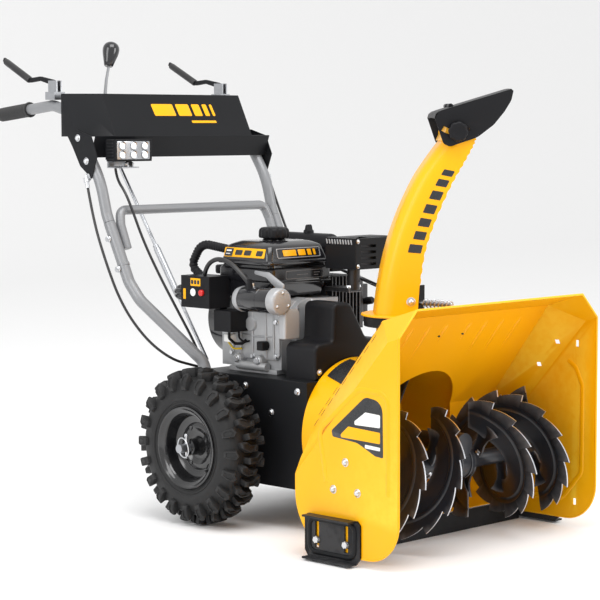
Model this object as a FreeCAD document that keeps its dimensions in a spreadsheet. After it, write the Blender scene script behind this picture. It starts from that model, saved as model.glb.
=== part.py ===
import FreeCAD, Part
import math
import os
import re
import Sketcher
from FreeCAD import Placement, Rotation, Vector

# Two stage snowblower. Frame: +Z up, ground at Z = 0, the machine blows snow ahead towards -Y and the
# operator walks behind at +Y. The right hand of the operator is -X. Lengths are in millimetres. The wheel
# axle is at Y = 0 while the pieces are built, and every piece is placed frame_shift further back.

SIZES = {
    "frame_shift": 7.5, "sheet_gauge": 2.5, "plate_gauge": 3, "gap": 0.3,
    # auger housing
    "half_width": 310, "mouth_y": -666, "mouth_low": 17, "mouth_top": 510, "shoulder_low": 457,
    "top_back_y": -574, "top_back_z": 482, "knee_y": -405, "knee_z": 269, "rear_y": -383.5,
    "rear_top_z": 195, "cheek_y": -636, "cheek_z": 447.8, "trough_radius": 140.5, "toe_radius": 80,
    "opening_radius": 145, "scraper_y": -455, "scraper_top": 43,
    # auger and its gearbox
    "auger_y": -524, "auger_z": 166, "auger_tip": 136, "auger_root": 70, "auger_shaft_radius": 12.5,
    "auger_tube_radius": 17, "auger_tube_start": 44, "auger_tube_end": 296, "gearbox_half": 40,
    "bearing_radius": 30, "bolt_circle": 38,
    # impeller and its drum
    "impeller_z": 208, "drum_radius": 157, "drum_back": -248, "blade_tip": 146, "blade_front": -350,
    "blade_back": -262, "impeller_hub": 24, "shaft_radius": 10, "chute_y": -405, "tower_radius": 66,
    "tower_top": 452,
    # chute and deflector
    "chute_turn": 48, "flange_z": 466, "flange_radius": 98, "chute_half": 65, "chute_back": 71,
    "chute_front": 14, "chute_top": 833, "chute_round": 38, "deflector_half": 69.5, "hinge_out": 92,
    "hinge_z": 897, "worm_x": 111, "worm_z": 480, "crank_end_x": 175, "crank_end_y": 190,
    "crank_end_z": 600, "knob_out": 95, "knob_z": 848,
    # skid shoes
    "skid_out": 335, "skid_front": -567, "skid_back": -415, "skid_low": 4, "skid_top": 92, "skid_bolt_z": 42,
    # wheels, axle, frame
    "wheel_radius": 171, "wheel_in": 170, "wheel_out": 268, "rim_radius": 84, "axle_radius": 9.5,
    "axle_half": 282, "frame_half": 141.5, "frame_front": -247.5, "frame_back": 96, "frame_low": 90,
    "frame_top": 322,
    # engine
    "crank_x": -14, "crank_z": 432, "engine_front": -112, "engine_back": 96, "pulley_y": -182,
    "impeller_pulley_radius": 95, "engine_pulley_radius": 26, "crank_radius": 11,
    # handles and panel
    "tube_radius": 12.5, "handle_half": 253, "grip_radius": 16,
    "shift_y": 440, "shift_z": 880, "shift_arm": 65, "lamp_y": 264, "lamp_z": 774,
    "panel_top": 931, "panel_front": 335, "panel_half": 268,
}

doc = FreeCAD.newDocument("snowblower")
sheet = doc.addObject("Spreadsheet::Sheet", "Sizes")
for row, (alias, number) in enumerate(SIZES.items(), start=1):
    sheet.set(f"A{row}", alias)
    sheet.set(f"B{row}", str(number))
    sheet.setAlias(f"B{row}", alias)
doc.recompute()

TURN_TO = {"X": Rotation(Vector(0, 1, 0), 90), "Y": Rotation(Vector(1, 0, 0), -90), "Z": Rotation()}
nodes = []


# ---------------------------------------------------------------- helpers: sheet, sketches, primitives

def formula(text):
    """A size formula with its names pointed at the sheet."""
    return re.sub(r"\b([a-z][a-z_]*)\b(?!\()", r"Sizes.\1", str(text))


def size(text):
    """The number that a size formula gives."""
    return float(sheet.evalExpression(formula(text)))


def bind(thing, **formulas):
    """Drive properties of an object by formulas; a double underscore stands for a dot."""
    for name, text in formulas.items():
        thing.setExpression(name.replace("__", "."), formula(text))


def register(label, thing):
    """Name a finished sub-part."""
    thing.Label = label
    nodes.append(thing)
    return thing


def outline(body, plane, points, start):
    """A closed polygon sketch on an origin plane of the body, every corner driven by the sheet."""
    sketch = body.newObject("Sketcher::SketchObject", body.Name + "_sketch")
    support = next(item for item in body.Origin.OriginFeatures if item.Role == plane)
    sketch.AttachmentSupport = [(support, "")]
    sketch.MapMode = "FlatFace"
    bind(sketch, AttachmentOffset__Base__z=start)
    corners = [Vector(size(u), size(v), 0) for u, v in points]
    count = len(corners)
    for index in range(count):
        sketch.addGeometry(Part.LineSegment(corners[index], corners[(index + 1) % count]))
    for index in range(count):
        sketch.addConstraint(Sketcher.Constraint("Coincident", index, 2, (index + 1) % count, 1))
    for index, (u, v) in enumerate(points):
        for kind, text, number in (("DistanceX", u, corners[index].x), ("DistanceY", v, corners[index].y)):
            if abs(number) < 1e-9:
                continue
            which = sketch.addConstraint(Sketcher.Constraint(kind, -1, 1, index, 1, number))
            sketch.setExpression(f"Constraints[{which}]", formula(text))
    return sketch


def pad(body, sketch, length):
    """Raise a sketch along its plane's normal."""
    feature = body.newObject("PartDesign::Pad", body.Name + "_pad")
    feature.Profile = sketch
    bind(feature, Length=length)
    doc.recompute()
    return feature


def prism(name, plane, points, start, length):
    """A straight body over a polygon, from start to start + length along the plane's normal."""
    body = doc.addObject("PartDesign::Body", name)
    pad(body, outline(body, plane, points, start), length)
    return body


def pocket(body, sketch, length, reverse=False):
    """Cut a sketch out of the body, and make sure that it did cut."""
    before = body.Shape.Volume
    feature = body.newObject("PartDesign::Pocket", body.Name + "_pocket")
    feature.Profile = sketch
    feature.Reversed = reverse
    bind(feature, Length=length)
    doc.recompute()
    if not body.Shape.Volume < before - 1e-6:
        raise RuntimeError(body.Name + ": a pocket cut nothing")
    return feature


def place(thing, base, turn=None):
    """Put a primitive at a point whose coordinates are formulas."""
    thing.Placement = Placement(Vector(*[size(text) for text in base]), turn or Rotation())
    bind(thing, Placement__Base__x=base[0], Placement__Base__y=base[1], Placement__Base__z=base[2])
    return thing


def cylinder(name, base, axis, radius, length):
    """A cylinder that starts at base and runs along +X, +Y or +Z."""
    thing = doc.addObject("Part::Cylinder", name)
    bind(thing, Radius=radius, Height=length)
    return place(thing, base, TURN_TO[axis] if isinstance(axis, str) else axis)


def cone(name, base, axis, radius_one, radius_two, length):
    """A cone frustum that starts at base."""
    thing = doc.addObject("Part::Cone", name)
    bind(thing, Radius1=radius_one, Radius2=radius_two, Height=length)
    return place(thing, base, TURN_TO[axis])


def block(name, base, sizes, turn=None):
    """A box with its low corner at base."""
    thing = doc.addObject("Part::Box", name)
    bind(thing, Length=sizes[0], Width=sizes[1], Height=sizes[2])
    return place(thing, base, turn)


def fuse(name, things):
    """One solid from touching pieces."""
    thing = doc.addObject("Part::MultiFuse", name)
    thing.Shapes = things
    thing.Refine = True
    doc.recompute()
    return thing


def cut(name, base, tools):
    """A piece less its tools."""
    tool = tools[0] if len(tools) == 1 else fuse(name + "_tools", tools)
    thing = doc.addObject("Part::Cut", name)
    thing.Base = base
    thing.Tool = tool
    doc.recompute()
    return thing


def group(name, things):
    """Separate solids that share one node."""
    thing = doc.addObject("Part::Compound", name)
    thing.Links = things
    doc.recompute()
    return thing


def feature(name, shape):
    """A piece whose shape is worked out below from the sheet."""
    thing = doc.addObject("Part::Feature", name)
    thing.Shape = shape
    return thing


def tube_shape(route, radius, bends=None):
    """A round bar along straight runs joined by tangent arcs; bends is one radius per inner point."""
    points = [Vector(*[size(text) for text in point]) for point in route]
    edges = []
    start = points[0]
    for index in range(1, len(points) - 1):
        before = points[index] - points[index - 1]
        after = points[index + 1] - points[index]
        shorter = min(before.Length, after.Length)
        before.normalize()
        after.normalize()
        half = before.getAngle(after) / 2
        reach = 0.45 * shorter
        if bends is not None:
            reach = min(reach, bends[index - 1] * math.tan(half))
        turn_radius = reach / math.tan(half)
        first = points[index] - before * reach
        last = points[index] + after * reach
        inward = (after - before).normalize()
        middle = points[index] + inward * (turn_radius / math.cos(half) - turn_radius)
        edges.append(Part.LineSegment(start, first).toShape())
        edges.append(Part.Arc(first, middle, last).toShape())
        start = last
    edges.append(Part.LineSegment(start, points[-1]).toShape())
    spine = Part.Wire(edges)
    section = Part.Wire(Part.makeCircle(radius, points[0], points[1] - points[0]))
    solid = spine.makePipeShell([section], True, False)
    expected = math.pi * radius ** 2 * spine.Length
    if abs(solid.Volume - expected) > 0.02 * expected:
        raise RuntimeError("a tube's volume is off")
    return solid


def joined(shapes):
    """Fuse shapes and drop the seams."""
    return shapes[0].fuse(list(shapes[1:])).removeSplitter()


# ---------------------------------------------------------------- auger housing

def profile_face(points, arcs):
    """A face in the YZ plane over corners (y, z); arcs gives the radius of each rounded corner."""
    corners = [Vector(0, y, z) for y, z in points]
    edges = []
    first_end = None
    last_end = None
    count = len(corners)
    for index, corner in enumerate(corners):
        before = (corners[index - 1] - corner).normalize()
        after = (corners[(index + 1) % count] - corner).normalize()
        radius = arcs.get(index, 0)
        start = end = corner
        if radius:
            half = before.getAngle(after) / 2
            reach = radius / math.tan(half)
            start = corner + before * reach
            end = corner + after * reach
            inward = (before + after).normalize()
            middle = corner + inward * (radius / math.sin(half) - radius)
            arc = Part.Arc(start, middle, end).toShape()
        if last_end is None:
            first_end = start
        else:
            edges.append(Part.LineSegment(last_end, start).toShape())
        if radius:
            edges.append(arc)
        last_end = end
    edges.append(Part.LineSegment(last_end, first_end).toShape())
    return Part.Face(Part.Wire(Part.__sortEdges__(edges)))


def housing_profile(ahead=0.0):
    """Side view of the auger housing's room; ahead draws its mouth out further."""
    fall = (size("mouth_top") - size("top_back_z")) / (size("top_back_y") - size("mouth_y"))
    low = size("auger_z - trough_radius")
    mouth = size("mouth_y") - ahead
    points = [(mouth, size("mouth_top") + ahead * fall), (size("top_back_y"), size("top_back_z")),
              (size("knee_y"), size("knee_z")), (size("rear_y"), size("rear_top_z")), (size("rear_y"), low),
              (mouth, low)]
    return profile_face(points, {4: size("trough_radius")})


def plate_profile():
    """Side view of an end plate: a round toe and heel and the back edge along the wall."""
    points = [(size("mouth_y"), size("mouth_low")), (size("mouth_y"), size("mouth_top")),
              (size("top_back_y"), size("top_back_z")), (size("knee_y"), size("knee_z")),
              (size("rear_y"), size("rear_top_z")), (size("rear_y"), size("mouth_low"))]
    return profile_face(points, {0: size("toe_radius"), 5: size("toe_radius") + 35})


def bent_block(face, inset):
    """The face raised across the machine, with the flat sides, the shoulders and the leaning rear cheeks."""
    half = size("half_width") - inset
    solid = face.extrude(Vector(2 * half, 0, 0))
    solid.translate(Vector(-half, 0, 0))
    for side in (-1, 1):
        shoulder = Vector(side * 0.695, 0.2095, 0.688)
        cheek = Vector(side * 0.796, 0.451, 0.404)
        corner = Vector(side * size("half_width"), size("mouth_y"), size("shoulder_low"))
        fold = Vector(side * size("half_width"), size("cheek_y"), size("cheek_z"))
        for normal, spot in ((shoulder, corner), (cheek, fold)):
            normal.normalize()
            outside = Part.makeBox(2400, 2400, 900)
            aside = Placement(Vector(-1200, -1200, 0), Rotation())
            on_plane = Placement(spot - normal * inset, Rotation(Vector(0, 0, 1), normal))
            outside.Placement = on_plane.multiply(aside)
            solid = solid.cut(outside)
    return solid


def auger_housing_shell():
    """Top, sloping back wall and trough, one bent sheet, open ahead, below and at both sides."""
    gauge = size("sheet_gauge")
    room = housing_profile(60)
    room = room.makeOffset2D(-gauge)
    hollow = room.extrude(Vector(700, 0, 0))
    hollow.translate(Vector(-350, 0, 0))
    below = Part.makeBox(700, 500, 190, Vector(-350, size("scraper_y") - 500, -20))
    mouth = Part.makeCylinder(size("opening_radius"), 400, Vector(0, -580, size("impeller_z")), Vector(0, 1, 0))
    shell = bent_block(housing_profile(), gauge).cut(hollow).cut(below).cut(mouth)
    return register("auger_housing_shell", feature("auger_housing_shell", shell.removeSplitter()))


def side_plates():
    """The two end plates, each bent in at its shoulder and its rear cheek; the left one is punched."""
    sheets = bent_block(plate_profile(), 0).cut(bent_block(plate_profile(), size("sheet_gauge")))
    inside = size("half_width") - 20
    punched = [Part.makeBox(40, 9, 9, Vector(inside, y - 4.5, z - 4.5)) for y, z in ((-570, 399), (-521, 347))]
    punched += [Part.makeBox(40, 8, 14, Vector(inside, y - 4, z - 7)) for y, z in ((-614, 397.5), (-610, 55.5))]
    for hole in punched:
        sheets = sheets.cut(hole)
    for solid in sheets.Solids:
        label = "side_plate_right" if solid.CenterOfMass.x < 0 else "side_plate_left"
        register(label, feature(label, solid))


def impeller_drum():
    """Round impeller housing behind the auger housing, with the round outlet tower on top."""
    barrel = cylinder("barrel", ("0", "-520", "impeller_z"), "Y", "drum_radius", "drum_back + 520")
    tower = cylinder("tower", ("0", "chute_y", "impeller_z + 60"), "Z", "tower_radius",
                     "tower_top - impeller_z - 60")
    outer = fuse("drum_outer", [barrel, tower])
    bore = cylinder("drum_bore", ("0", "-530", "impeller_z"), "Y", "drum_radius - plate_gauge",
                    "drum_back - plate_gauge + 530")
    throat = cylinder("throat", ("0", "chute_y", "impeller_z"), "Z", "tower_radius - plate_gauge", "400")
    shaft = cylinder("drum_shaft_hole", ("0", "drum_back - 20", "impeller_z"), "Y", "shaft_radius + 4", "60")
    ahead = feature("drum_trim", bent_block(housing_profile(), 0))
    return register("impeller_drum", cut("impeller_drum", outer, [bore, throat, shaft, ahead]))


def scraper_bar():
    """Wear bar bolted to the lower lip of the trough, down to the ground."""
    body = prism("scraper_bar", "YZ_Plane", [("scraper_y - 5", "0"), ("scraper_y + 3", "0"),
                 ("scraper_y + 3", "scraper_top"), ("scraper_y - 5", "scraper_top")],
                 "-half_width + 2 * sheet_gauge", "2 * half_width - 4 * sheet_gauge")
    return register("scraper_bar", body)


def bolts():
    """Heads of the bearing bolts, the wear bar's bolts and the bolts of the handles and the panel."""
    heads = []
    for x in ("-half_width - 6", "half_width"):
        for angle in (90, 210, 330):
            y = f"auger_y + {math.cos(math.radians(angle)):.4f} * bolt_circle"
            z = f"auger_z + {math.sin(math.radians(angle)):.4f} * bolt_circle"
            heads.append(cylinder(f"bearing_bolt_{len(heads)}", (x, y, z), "X", "8", "6"))
    for x in (-240, -80, 80, 240):
        heads.append(cylinder(f"bar_bolt_{len(heads)}", (str(x), "scraper_y + 3", "28"), "Y", "7", "5"))
    for shank_x, head_x in (("-half_width - 5", "-half_width - 11"), ("half_width", "half_width + 5")):
        for y in ("skid_front + 37", "skid_back - 35"):
            shank = cylinder(f"skid_shank_{len(heads)}", (shank_x, y, "skid_bolt_z"), "X", "4", "5")
            head = cylinder(f"skid_head_{len(heads)}", (head_x, y, "skid_bolt_z"), "X", "8", "6")
            heads.append(fuse(f"skid_bolt_{len(heads)}", [shank, head]))
    for x, y, z in ((266.3, 214, 545), (266.3, 246, 610), (268.3, 346, 832), (268.3, 317, 781)):
        heads.append(cylinder(f"handle_bolt_{len(heads)}", (str(x), str(y), str(z)), "X", "7", "5"))
        heads.append(cylinder(f"handle_bolt_{len(heads)}", (str(-x - 5), str(y), str(z)), "X", "7", "5"))
    return register("bolts", group("bolts", heads))


def flange_bearings():
    """Bearing housings of the auger shaft on the end plates and of the wheel axle on the frame."""
    rings = []
    for index, x in enumerate(("-half_width + sheet_gauge", "half_width - sheet_gauge - 8")):
        ring = cylinder(f"auger_bearing_{index}", (x, "auger_y", "auger_z"), "X", "bolt_circle + 8", "8")
        hole = cylinder(f"auger_bore_{index}", (x, "auger_y", "auger_z"), "X", "auger_shaft_radius + 0.05", "8")
        rings.append(cut(f"auger_ring_{index}", ring, [hole]))
    for index, x in enumerate(("-frame_half - 8", "frame_half")):
        ring = cylinder(f"axle_bearing_{index}", (x, "0", "wheel_radius"), "X", "bearing_radius", "8")
        hole = cylinder(f"axle_bore_{index}", (x, "0", "wheel_radius"), "X", "axle_radius + 0.05", "8")
        rings.append(cut(f"axle_ring_{index}", ring, [hole]))
    return register("flange_bearings", group("flange_bearings", rings))


def gearbox_case():
    """Cast worm gearbox in the middle of the auger, with a neck back to the impeller."""
    barrel = cylinder("gear_barrel", ("-gearbox_half", "auger_y", "auger_z"), "X", "34", "2 * gearbox_half")
    dome = cylinder("worm_barrel", ("0", "auger_y - 40", "impeller_z"), "Y", "24", "80")
    neck = cylinder("gear_neck", ("0", "auger_y", "impeller_z"), "Y", "19", "112")
    body = fuse("gear_outer", [barrel, dome, neck])
    room = cylinder("gear_room", ("-gearbox_half + 8", "auger_y", "auger_z"), "X", "29",
                    "2 * gearbox_half - 16")
    shaft = cylinder("gear_shaft_bore", ("-50", "auger_y", "auger_z"), "X", "auger_shaft_radius + 0.05", "100")
    worm = cylinder("gear_worm_bore", ("0", "auger_y - 32", "impeller_z"), "Y", "15", "64")
    long_bore = cylinder("gear_long_bore", ("0", "auger_y - 30", "impeller_z"), "Y",
                         "shaft_radius + 0.05", "200")
    return register("gearbox_case", cut("gearbox_case", body, [room, shaft, worm, long_bore]))


# ---------------------------------------------------------------- auger and impeller

def auger_shaft():
    """Auger shaft across the housing with the worm wheel pressed on it."""
    bar = cylinder("auger_bar", ("-half_width + sheet_gauge + 1", "auger_y", "auger_z"), "X",
                   "auger_shaft_radius", "2 * (half_width - sheet_gauge - 1)")
    wheel = cylinder("worm_wheel", ("-10", "auger_y", "auger_z"), "X", "26", "20")
    return register("auger_shaft", fuse("auger_shaft", [bar, wheel]))


def ribbon(side, phase):
    """One auger flight: a helical band that winds half a turn about the shaft."""
    reach = size("auger_tube_end - 24 - auger_tube_start - 16")
    wind = 200 / 360
    inner = size("auger_root")
    outer = size("auger_tip")
    helix = Part.makeHelix(reach / wind, reach, (inner + outer) / 2)
    if side < 0:
        helix = Part.makeHelix(reach / wind, reach, (inner + outer) / 2, 0, True)
    half = 1.6
    section = Part.makePolygon([Vector(inner, 0, -half), Vector(outer, 0, -half), Vector(outer, 0, half),
                                Vector(inner, 0, half), Vector(inner, 0, -half)])
    band = Part.Wire(helix).makePipeShell([section], True, True)
    band.rotate(Vector(0, 0, 0), Vector(0, 0, 1), phase)
    band.translate(Vector(0, 0, size("auger_tube_start") + 16))
    return band, reach, wind


def auger_half(label, side):
    """One side's auger: a tube, two flights half a turn apart and the arms that carry them."""
    start = size("auger_tube_start")
    end = size("auger_tube_end")
    bore = size("auger_shaft_radius") + 0.05
    pieces = [Part.makeCylinder(size("auger_tube_radius"), end - start, Vector(0, 0, start))]
    hand = -1 if side < 0 else 1
    for phase in (0, 180):
        band, reach, wind = ribbon(side, phase)
        pieces.append(band)
        for part_way in (0.12, 0.5, 0.88):
            angle = phase + hand * 360 * wind * part_way
            arm = Part.makeBox(size("auger_root") + 10, 22, 5, Vector(0, -11, -2.5))
            arm.rotate(Vector(0, 0, 0), Vector(0, 0, 1), angle)
            arm.translate(Vector(0, 0, start + 16 + reach * part_way))
            pieces.append(arm)
    whole = joined(pieces).cut(Part.makeCylinder(bore, end, Vector(0, 0, 0)))
    turn = Rotation(Vector(0, 0, 1), Vector(side, 0, 0))
    whole.Placement = Placement(Vector(0, size("auger_y"), size("auger_z")), turn)
    return register(label, feature(label, whole))


def impeller():
    """Second stage: a hub with four paddles."""
    hub = cylinder("impeller_hub_core", ("0", "blade_front + 4", "impeller_z"), "Y", "impeller_hub",
                   "blade_back - blade_front - 4")
    blades = []
    for index in range(4):
        blade = block(f"paddle_{index}", ("-2", "blade_front", "impeller_z"),
                      ("4", "blade_back - blade_front", "blade_tip"))
        holder = doc.addObject("Part::Feature", f"paddle_turned_{index}")
        doc.recompute()
        turned = blade.Shape.copy()
        turned.rotate(Vector(0, 0, size("impeller_z")), Vector(0, 1, 0), 30 + 90 * index)
        holder.Shape = turned
        blades.append(holder)
    bore = cylinder("impeller_bore", ("0", "blade_front - 5", "impeller_z"), "Y", "shaft_radius", "200")
    return register("impeller", cut("impeller", fuse("impeller_solid", [hub] + blades), [bore]))


def impeller_shaft():
    """Shaft from the worm in the gearbox, through the impeller, to its pulley."""
    bar = cylinder("impeller_bar", ("0", "auger_y - 28", "impeller_z"), "Y", "shaft_radius",
                   "pulley_y + 14 - auger_y + 28")
    worm = cylinder("worm", ("0", "auger_y - 24", "impeller_z"), "Y", "13.5", "48")
    return register("impeller_shaft", fuse("impeller_shaft", [bar, worm]))


def pulley(name, centre, radius):
    """Two-groove belt pulley about an axis along Y."""
    x, z = centre
    wheel = cylinder(name + "_disc", (x, "pulley_y - 14", z), "Y", radius, "28")
    grooves = []
    for index, y in enumerate((-7, 7)):
        at = (x, f"pulley_y + {y - 4.5}", z)
        ring = cylinder(f"{name}_groove_{index}", at, "Y", f"{radius} + 1", "9")
        core = cylinder(f"{name}_core_{index}", at, "Y", f"{radius} - 7", "9")
        grooves.append(cut(f"{name}_ring_{index}", ring, [core]))
    return cut(name + "_grooved", wheel, grooves)


def impeller_pulley():
    """Large belt pulley on the impeller's shaft."""
    wheel = pulley("impeller_pulley", ("0", "impeller_z"), "impeller_pulley_radius")
    hole = cylinder("impeller_pulley_bore", ("0", "pulley_y - 20", "impeller_z"), "Y", "shaft_radius", "40")
    return register("impeller_pulley", cut("impeller_pulley", wheel, [hole]))


def engine_pulley():
    """Crankshaft end with the small belt pulley on it."""
    wheel = pulley("engine_pulley", ("crank_x", "crank_z"), "engine_pulley_radius")
    stub = cylinder("crankshaft_stub", ("crank_x", "pulley_y - 14", "crank_z"), "Y", "crank_radius",
                    "engine_front - pulley_y + 50")
    return register("engine_pulley", fuse("engine_pulley", [wheel, stub]))


def drive_belts():
    """Two belts from the crankshaft pulley down to the impeller pulley."""
    low = Vector(0, 0, size("impeller_z"))
    high = Vector(size("crank_x"), 0, size("crank_z"))
    seat = 5.8
    rise = high - low
    belts = []
    for y in (-7, 7):
        loops = []
        for grow in (0, 5):
            radii = [(low, size("impeller_pulley_radius") - seat + grow),
                     (high, size("engine_pulley_radius") - seat + grow)]
            discs = [Part.Face(Part.Wire(Part.makeCircle(radius, centre, Vector(0, 1, 0))))
                     for centre, radius in radii]
            lean = math.asin((radii[0][1] - radii[1][1]) / rise.Length)
            corners = []
            for side in (1, -1):
                way = Rotation(Vector(0, 1, 0), side * (90 - math.degrees(lean))).multVec(rise).normalize()
                corners.append([centre + way * radius for centre, radius in radii])
            ring = corners[0] + corners[1][::-1]
            middle = Part.Face(Part.makePolygon(ring + [ring[0]]))
            loops.append(discs[0].fuse([discs[1], middle]).removeSplitter())
        belt = loops[1].cut(loops[0]).extrude(Vector(0, 7, 0))
        belt.translate(Vector(0, size("pulley_y") + y - 3.5, 0))
        belts.append(belt)
    return register("drive_belts", feature("drive_belts", Part.makeCompound(belts)))


# ---------------------------------------------------------------- chute

def chute_side(inset):
    """Face of the chute seen from its side: an arched back and an arched open front."""
    foot = size("flange_z")
    top = size("chute_top")
    back = -size("chute_back") + inset
    front = size("chute_front")
    rear_arc = Part.Arc(Vector(back, 0, foot), Vector(-35 + inset, 0, 645), Vector(64 + inset, 0, top))
    front_arc = Part.Arc(Vector(front, 0, foot), Vector(44, 0, 645), Vector(134, 0, top))
    over = Part.LineSegment(Vector(64 + inset, 0, top), Vector(134, 0, top))
    under = Part.LineSegment(Vector(front, 0, foot), Vector(back, 0, foot))
    edges = [rear_arc.toShape(), over.toShape(), front_arc.toShape(), under.toShape()]
    return Part.Face(Part.Wire(Part.__sortEdges__(edges)))


def turned_to_chute(shape):
    """Move a shape drawn with its outlet along +X and its side along +Y onto the machine."""
    shape.rotate(Vector(0, 0, 0), Vector(0, 0, 1), size("chute_turn") - 90)
    shape.translate(Vector(0, size("chute_y"), 0))
    return shape


def chute():
    """Snow chute: a round foot flange and a U-shaped channel that arches ahead, open at its front."""
    half = size("chute_half")
    gauge = size("sheet_gauge")
    rounding = size("chute_round")

    def channel(inset, width, radius):
        solid = chute_side(inset).extrude(Vector(0, 2 * width, 0))
        solid.translate(Vector(0, -width, 0))
        edges = []
        for edge in solid.Edges:
            middle = edge.valueAt((edge.FirstParameter + edge.LastParameter) / 2)
            if edge.Curve.TypeId == "Part::GeomCircle" and middle.x < 0:
                edges.append(edge)
        return solid.makeFillet(radius, edges)

    outer = channel(0, half, rounding)
    inner = channel(gauge, half - gauge, rounding - gauge)
    extra = inner.copy()
    extra.translate(Vector(12, 0, 0))
    low = Part.makeBox(200, 2 * (half - gauge), 30, Vector(-10, -half + gauge, size("flange_z") - 1))
    wall = outer.cut(inner).cut(extra).cut(low)
    ring = Part.makeCylinder(size("flange_radius"), 3.5, Vector(0, 0, size("flange_z")))
    hole = Part.makeCylinder(size("tower_radius") - 6, 10, Vector(0, 0, size("flange_z") - 3))
    top_wall = Part.makeBox(6, 2 * half - 20, 62, Vector(0, -half + 10, 0))
    top_wall.rotate(Vector(0, 0, 0), Vector(0, 1, 0), 24)
    top_wall.translate(Vector(62, 0, size("chute_top") - 4))
    ears = []
    for y in (-half, half - gauge):
        ear_centre = Vector(size("knob_out") - 1, y, size("knob_z") - 4)
        ears.append(Part.makeCylinder(24, gauge, ear_centre, Vector(0, 1, 0)))
    body = joined([wall, ring.cut(hole), top_wall] + ears)
    return register("chute", feature("chute", turned_to_chute(body)))


DEFLECTOR_OUTLINE = [(48, 872), (56, 886), (206, 934), (208, 919), (182, 878), (162, 854), (129, 831),
                     (76, 819)]


def deflector():
    """Hood hinged on the chute's top: two cheeks and a roof, open below and ahead."""
    width = size("deflector_half")
    points = [Vector(x, 0, z) for x, z in DEFLECTOR_OUTLINE]
    face = Part.Face(Part.makePolygon(points + [points[0]]))
    outer = face.extrude(Vector(0, 2 * width, 0))
    outer.translate(Vector(0, -width, 0))
    rest = [edge for edge in outer.Edges if abs(edge.CenterOfMass.y) < 0.01 and edge.CenterOfMass.x < 60]
    outer = outer.makeFillet(5, rest)
    hollow = face.extrude(Vector(0, 2 * (width - 2.2), 0))
    hollow.translate(Vector(1.2, -width + 2.2, -2.6))
    ahead = hollow.copy()
    ahead.translate(Vector(8, 0, 0))
    lower = hollow.copy()
    lower.translate(Vector(-6, 0, -14))
    reach = size("hinge_z - knob_z")
    hinge = Vector(size("hinge_out"), -width - 5, size("hinge_z"))
    ring = Part.makeCylinder(reach + 5.5, 12, hinge, Vector(0, 1, 0))
    ring = ring.cut(Part.makeCylinder(reach - 5.5, 12, hinge, Vector(0, 1, 0)))
    fan = Part.Face(Part.makePolygon([hinge, hinge + Vector(-60, 0, -90), hinge + Vector(62, 0, -90), hinge]))
    slot = ring.common(fan.extrude(Vector(0, 12, 0)))
    body = outer.cut(hollow).cut(ahead).cut(lower).cut(slot)
    return register("deflector", feature("deflector", turned_to_chute(body)))


def deflector_knob():
    """Clamping knob on the deflector's right cheek."""
    at = Vector(size("knob_out"), -size("deflector_half") - size("gap"), size("knob_z"))
    outward = Vector(0, -1, 0)
    pieces = [Part.makeCylinder(20, 14, at + outward * 4, outward), Part.makeCylinder(10, 5, at, outward)]
    for index in range(8):
        step = math.radians(45 * index)
        spot = at + outward * 4 + Vector(18.5 * math.cos(step), 0, 18.5 * math.sin(step))
        pieces.append(Part.makeCylinder(4, 14, spot, outward))
    return register("deflector_knob", feature("deflector_knob", turned_to_chute(joined(pieces))))


def chute_seat():
    """Black guide ring under the chute's flange and the bracket of the chute's worm."""
    ring = cylinder("seat_ring", ("0", "chute_y", "tower_top - 8"), "Z", "flange_radius - 6",
                    "flange_z - tower_top + 7.6")
    hole = cylinder("seat_hole", ("0", "chute_y", "tower_top - 30"), "Z", "tower_radius", "60")
    seat = cut("seat", ring, [hole])
    foot = block("worm_foot", ("68", "-372", "tower_top - 8"), ("60", "40", "4"))
    upright = block("worm_upright", ("96", "-338", "tower_top - 8"), ("32", "4", "74"))
    body = fuse("seat_and_bracket", [seat, foot, upright])
    rod_hole = cylinder("worm_hole", ("worm_x", "-350", "worm_z"), "Y", "5.06", "60")
    return register("chute_seat", cut("chute_seat", body, [rod_hole]))


def chute_worm():
    """Wire worm that turns the chute by its rim, on its own short spindle."""
    spindle = cylinder("worm_spindle", ("worm_x", "-432", "worm_z"), "Y", "5", "114")
    coil = cylinder("worm_coil", ("worm_x", "-428", "worm_z"), "Y", "10", "78")
    return register("chute_worm", fuse("chute_worm", [spindle, coil]))


def chute_crank():
    """Crank rod from the worm's joint back to its folded handle."""
    joint = Vector(size("worm_x"), -316, size("worm_z") + 2)
    end = Vector(size("crank_end_x"), size("crank_end_y"), size("crank_end_z"))
    way = end - joint
    rod = Part.makeCylinder(4.5, way.Length, joint, way)
    arm = Part.makeCylinder(4.5, 38, end - Vector(0, 2, 0), Vector(0, 0.222, -0.975))
    grip = Part.makeCylinder(9, 38, end + Vector(0, 4, -34), way)
    return register("chute_crank", feature("chute_crank", joined([rod, arm, grip])))


# ---------------------------------------------------------------- skid shoes

def skid_shoe(label, side):
    """Height adjustable runner: an upright plate with two slots and turned-out lips."""
    low = "half_width + 0.6"
    start = low if side > 0 else f"-({low}) - 4"
    plate = [("skid_front", "skid_low + 14"), ("skid_front + 10", "skid_low + 2"),
             ("skid_back - 10", "skid_low"), ("skid_back", "skid_low + 14"), ("skid_back", "skid_top - 8"), ("skid_back - 8", "skid_top"),
             ("skid_front + 8", "skid_top"), ("skid_front", "skid_top - 8")]
    body = prism(label + "_plate", "YZ_Plane", plate, start, "4")
    for y in ("skid_front + 37", "skid_back - 35"):
        slot = [(f"{y} - 5", "26"), (f"{y} + 5", "26"), (f"{y} + 5", "80"), (f"{y} - 5", "80")]
        pocket(body, outline(body, "YZ_Plane", slot, f"{start} + 6"), "12")
    x = "half_width + 0.6" if side > 0 else "-skid_out"
    wide = "skid_out - half_width - 0.6"
    lip_size = (wide, "skid_back - skid_front - 24", "4")
    lips = [block(label + "_sole", (x, "skid_front + 12", "skid_low"), lip_size),
            block(label + "_cap", (x, "skid_front + 12", "skid_top - 4"), lip_size)]
    return register(label, fuse(label, [body] + lips))


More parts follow.
